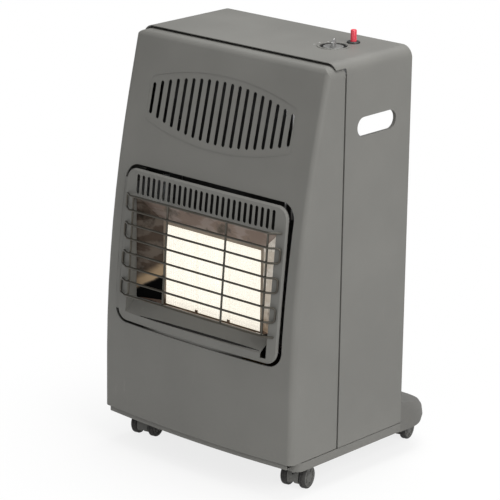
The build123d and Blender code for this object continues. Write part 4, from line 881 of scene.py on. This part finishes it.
def makeBaseEdge():
    half, y, thick, lip = edgeShape["half"], edgeShape["y"], edgeShape["thick"], edgeShape["lip"]
    low, high = edgeShape["low"], edgeShape["high"]
    wall = bowedBar(half, thick, high - low, y, (low + high) / 2)
    shelf = bowedBar(half - edgeShape["lipInset"], lip, thick, y + lip / 2, low + thick / 2)
    finished(joined(wall, shelf), "base_front_edge", "basePaint", "cabinet")


makeBaseEdge()

# strip that closes the seam on the left of the surround; the curve is the leaning cover's front, (height, y)
seamShape = {
    "x": -181.3, "width": 7.4, "thick": 1.2, "low": 243.0, "high": 466.0, "cuts": 17,
    "curve": ((240, -189.4), (260, -188.2), (300, -185.1), (350, -180.1), (400, -173.9), (440, -168.1),
              (470, -163.5)),
}


def alongCurve(curve, height):
    for (lowZ, lowY), (highZ, highY) in zip(curve, curve[1:]):
        if height <= highZ or (highZ, highY) == curve[-1]:
            return lowY + (highY - lowY) * (height - lowZ) / (highZ - lowZ)


def makeSeamStrip():
    tall = seamShape["high"] - seamShape["low"]
    middle = (seamShape["x"], 0, seamShape["low"] + tall / 2)
    shape = boxed((seamShape["width"], seamShape["thick"], tall), middle)
    cutAcross(shape, 2, tall, seamShape["cuts"])
    for vert in shape.verts:
        vert.co.y += alongCurve(seamShape["curve"], vert.co.z / mm) * mm
    finished(shape, "surround_side_strip", "greyPaint", "cabinet")


makeSeamStrip()

# black strip of painted shade in the groove where the ledge runs under the rolled lip, thinner towards its
# ends
grooveShadeShape = {
    "left": (-122.0, -196.0, 243.2), "right": (140.0, -192.9, 245.4), "cuts": 23,
    "width": 3.3, "thick": 0.5, "lift": 0.1, "slope": 0.707, "taper": 4, "tip": 0.1,
}


def makeLedgeGrooveShade():
    (leftX, leftY, leftZ), (rightX, rightY, rightZ) = grooveShadeShape["left"], grooveShadeShape["right"]
    length = rightX - leftX
    shape = boxed((length, grooveShadeShape["width"], grooveShadeShape["thick"]), ((leftX + rightX) / 2, 0, 0))
    cutAcross(shape, 0, length, grooveShadeShape["cuts"])
    for vert in shape.verts:
        share = (vert.co.x / mm - leftX) / length
        narrowing = max(grooveShadeShape["tip"], 1 - abs(2 * share - 1) ** grooveShadeShape["taper"])
        across = vert.co.y / mm * narrowing
        y = leftY + (rightY - leftY) * share + across
        z = leftZ + (rightZ - leftZ) * share + across * grooveShadeShape["slope"]
        vert.co.y, vert.co.z = y * mm, (z + grooveShadeShape["lift"] + vert.co.z / mm) * mm
    finished(shape, "ledge_groove_shade", "glossBlack", "cabinet")


makeLedgeGrooveShade()

# strip that closes the seam below the lip; its ends sink behind the cover
footShape = {
    "left": -128.0, "right": 96.0, "low": 216.0, "high": 230.0, "thick": 1.2, "cuts": 23,
    "face": -195.6, "bow": 5.2, "reach": 157.0, "sink": 11.0, "sinkPower": 5,
}


def makeFootStrip():
    left, right, low, high = [footShape[side] for side in ("left", "right", "low", "high")]
    middleX = (left + right) / 2
    shape = boxed((right - left, footShape["thick"], high - low), (middleX, 0, (low + high) / 2))
    cutAcross(shape, 0, right - left, footShape["cuts"])
    for vert in shape.verts:
        x = vert.co.x / mm
        endShare = abs((x - middleX) / ((right - left) / 2))
        bowed = footShape["bow"] * (x / footShape["reach"]) ** 2
        vert.co.y += (footShape["face"] + bowed + footShape["sink"] * endShare ** footShape["sinkPower"]) * mm
    finished(shape, "surround_foot_strip", "greyPaint", "cabinet")


makeFootStrip()
print("edge, strips and joint made")

# ceramic plaques: rows of shallow pits in the face that carries the painted glow
plaqueShape = {"across": 14, "up": 28, "rim": 1.0, "pit": 0.7, "crease": 20.0}


def plaqueTile(name):
    low, high = [Vector(corner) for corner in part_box(name)]
    size, middle = high - low, (high + low) / 2
    shape = bmesh.new()
    bmesh.ops.create_grid(shape, x_segments=plaqueShape["across"], y_segments=plaqueShape["up"], size=0.5)
    bmesh.ops.scale(shape, vec=(size.x, size.z, 1), verts=shape.verts)
    cells = list(shape.faces)
    rim = [edge for edge in shape.edges if edge.is_boundary]
    grown = bmesh.ops.extrude_edge_only(shape, edges=rim)["geom"]
    sides = [item for item in grown if isinstance(item, bmesh.types.BMVert)]
    bmesh.ops.translate(shape, vec=(0, 0, -size.y), verts=sides)
    bmesh.ops.contextual_create(shape, geom=[item for item in grown if isinstance(item, bmesh.types.BMEdge)])
    bmesh.ops.inset_individual(shape, faces=cells, thickness=plaqueShape["rim"] * mm,
                               depth=-plaqueShape["pit"] * mm)
    bmesh.ops.recalc_face_normals(shape, faces=shape.faces)
    place = Matrix.Translation((middle.x, low.y, middle.z)) @ Matrix.Rotation(math.radians(90), 4, "X")
    finished(shape, name + "_tile", "ceramicPaintedGlow", "cabinet", place, (name,),
             plaqueShape["crease"])


for plaqueName in ("plaque_left", "plaque_centre", "plaque_right"):
    plaqueTile(plaqueName)
print("plaques made")

# gas fittings behind the top: ribbed nozzle with its hexagon, and nuts on the valve's outlets
fittingShape = {
    "inlet": (109.0, 23.5, 673.0), "hexagon": (13.6, 8.0), "barbs": (11.3, 17.3, 23.3), "steps": 36,
    "outlets": ((111.0, -25.5, 673.0), (131.0, -25.5, 673.0)), "nutFlats": (9.0, 11.0), "nutHeight": 8.0,
    "nutSteps": 24, "crease": 30.0,
}


def hoseNozzle():
    profile = [(2.5, 6.0), (4.5, 6.0)]
    for barb in fittingShape["barbs"]:
        profile += [(4.5, barb), (6.0, barb + 0.4), (6.0, barb + 1.0), (4.6, barb + 5.0)]
    profile += [(4.5, 30.0), (4.5, 33.2), (4.0, 34.0), (2.9, 34.0), (2.5, 33.6)]
    tube = turned(profile, fittingShape["steps"], closed=True)
    collar = turned([(2.5, 7.0), (7.2, 7.0), (7.2, 8.6), (6.6, 9.2), (2.5, 9.2)], fittingShape["steps"],
                    closed=True)
    return joined(hexagonal(*fittingShape["hexagon"]), tube, collar)


def outletNut(acrossFlats):
    height = fittingShape["nutHeight"]
    pipeEnd = turned([(0.0, height), (4.2, height), (4.2, height + 2), (3.4, height + 3), (0.0, height + 3)],
                     fittingShape["nutSteps"])
    return joined(hexagonal(acrossFlats, height), pipeEnd)


def makeFittings():
    finished(hoseNozzle(), "hose_nozzle_visual", "brass", "cabinet",
             facing(fittingShape["inlet"], (0, 1, 0)), ("hose_nozzle",), fittingShape["crease"])
    for index, outlet in enumerate(fittingShape["outlets"]):
        finished(outletNut(fittingShape["nutFlats"][index]), "outlet_nut_%d" % index, "brass", "cabinet",
                 facing(outlet, (0, -1, 0)))


makeFittings()

# rivets that hold the burner's side brackets to the shield, seen from behind
rivetShape = {"x": 160.0, "y": -91.5, "heights": (275.0, 330.0, 385.0, 440.0), "radius": 3.2, "dome": 1.6,
              "steps": 20}


def rivetHead():
    radius, dome = rivetShape["radius"], rivetShape["dome"]
    return turned([(0.0, dome), (radius * 0.5, dome * 0.86), (radius * 0.85, dome * 0.45), (radius, 0.1),
                   (radius, 0.0)], rivetShape["steps"])


def makeRivets():
    heads = []
    for side in (-1, 1):
        for height in rivetShape["heights"]:
            place = facing((side * rivetShape["x"], rivetShape["y"], height), (0, 1, 0))
            heads.append(placed(rivetHead(), place))
    finished(joined(*heads), "shield_rivets", "castAluminium", "cabinet")


makeRivets()
print("fittings and rivets made")

# pale floor that clears to the white backdrop round the heater's shadow
floorSetup = {
    "size": 14.0, "drop": 0.0005, "color": (0.76, 0.76, 0.75), "rough": 0.8, "specular": 0.1,
    "clearFade": (0.15, 0.60), "clearRange": (0.80, 1.0),
}
backdropColor = (1.0, 1.0, 1.0)
worldLight = 0.30


def mixedInto(output, tree, factor, first, second):
    mixer = addNode(tree, "ShaderNodeMixShader")
    for socket, source in zip(mixer.inputs, (factor, first, second)):
        tree.links.new(source, socket)
    tree.links.new(mixer.outputs["Shader"], tree.nodes[output].inputs["Surface"])


def makeFloor():
    mesh = bpy.data.meshes.new("studioFloor")
    shape = bmesh.new()
    bmesh.ops.create_grid(shape, x_segments=1, y_segments=1, size=floorSetup["size"] / 2)
    shape.to_mesh(mesh)
    shape.free()
    floor = bpy.data.objects.new("studioFloor", mesh)
    bpy.context.scene.collection.objects.link(floor)
    floor.location.z = -floorSetup["drop"]
    material, tree, shader, where = startMaterial("paleFloor")
    shader.inputs["Base Color"].default_value = (*floorSetup["color"], 1.0)
    shader.inputs["Roughness"].default_value = floorSetup["rough"]
    shader.inputs["Specular IOR Level"].default_value = floorSetup["specular"]
    glow = addNode(tree, "ShaderNodeEmission", {"Color": (*backdropColor, 1.0), "Strength": 1.0})
    reach = addNode(tree, "ShaderNodeVectorMath", operation="LENGTH")
    tree.links.new(where, reach.inputs[0])
    away = rangeOf(tree, reach.outputs["Value"], floorSetup["clearFade"], floorSetup["clearRange"])
    path = addNode(tree, "ShaderNodeLightPath")
    seen = mathOf(tree, "ADD", path.outputs["Is Camera Ray"], path.outputs["Is Glossy Ray"], clamp=True)
    mixedInto("Material Output", tree, mathOf(tree, "MULTIPLY", away, seen), shader.outputs["BSDF"],
              glow.outputs["Emission"])
    mesh.materials.append(material)


def makeWorld():
    world = bpy.data.worlds.new("studioWorld")
    bpy.context.scene.world = world
    world.use_nodes = True
    tree = world.node_tree
    soft = tree.nodes["Background"]
    soft.inputs["Color"].default_value = (*backdropColor, 1.0)
    soft.inputs["Strength"].default_value = worldLight
    seen = addNode(tree, "ShaderNodeBackground", {"Color": (*backdropColor, 1.0)})
    path = addNode(tree, "ShaderNodeLightPath")
    mixedInto("World Output", tree, path.outputs["Is Camera Ray"], soft.outputs["Background"],
              seen.outputs["Background"])


# soft square lamps, in watts and metres, that all point at the heater's middle
lampAim = (0, 0, 0.35)
lampSetup = {
    "keyLamp": {"power": 106.0, "place": (3.3, -0.7, 2.4), "size": 2.2},
    "topLamp": {"power": 86.0, "place": (0.2, 0.5, 3.2), "size": 2.2},
    "fillLamp": {"power": 24.0, "place": (0.7, -3.3, 1.8), "size": 2.5},
}


def makeLamp(name, spec):
    lamp = bpy.data.lights.new(name, "AREA")
    lamp.energy = spec["power"]
    lamp.size = spec["size"]
    holder = bpy.data.objects.new(name, lamp)
    bpy.context.scene.collection.objects.link(holder)
    holder.location = spec["place"]
    aim = Vector(lampAim) - Vector(spec["place"])
    holder.rotation_mode = "QUATERNION"
    holder.rotation_quaternion = aim.to_track_quat("-Z", "Y")


makeFloor()
for lampName, lampSpec in lampSetup.items():
    makeLamp(lampName, lampSpec)
makeWorld()
print("floor and light ready")
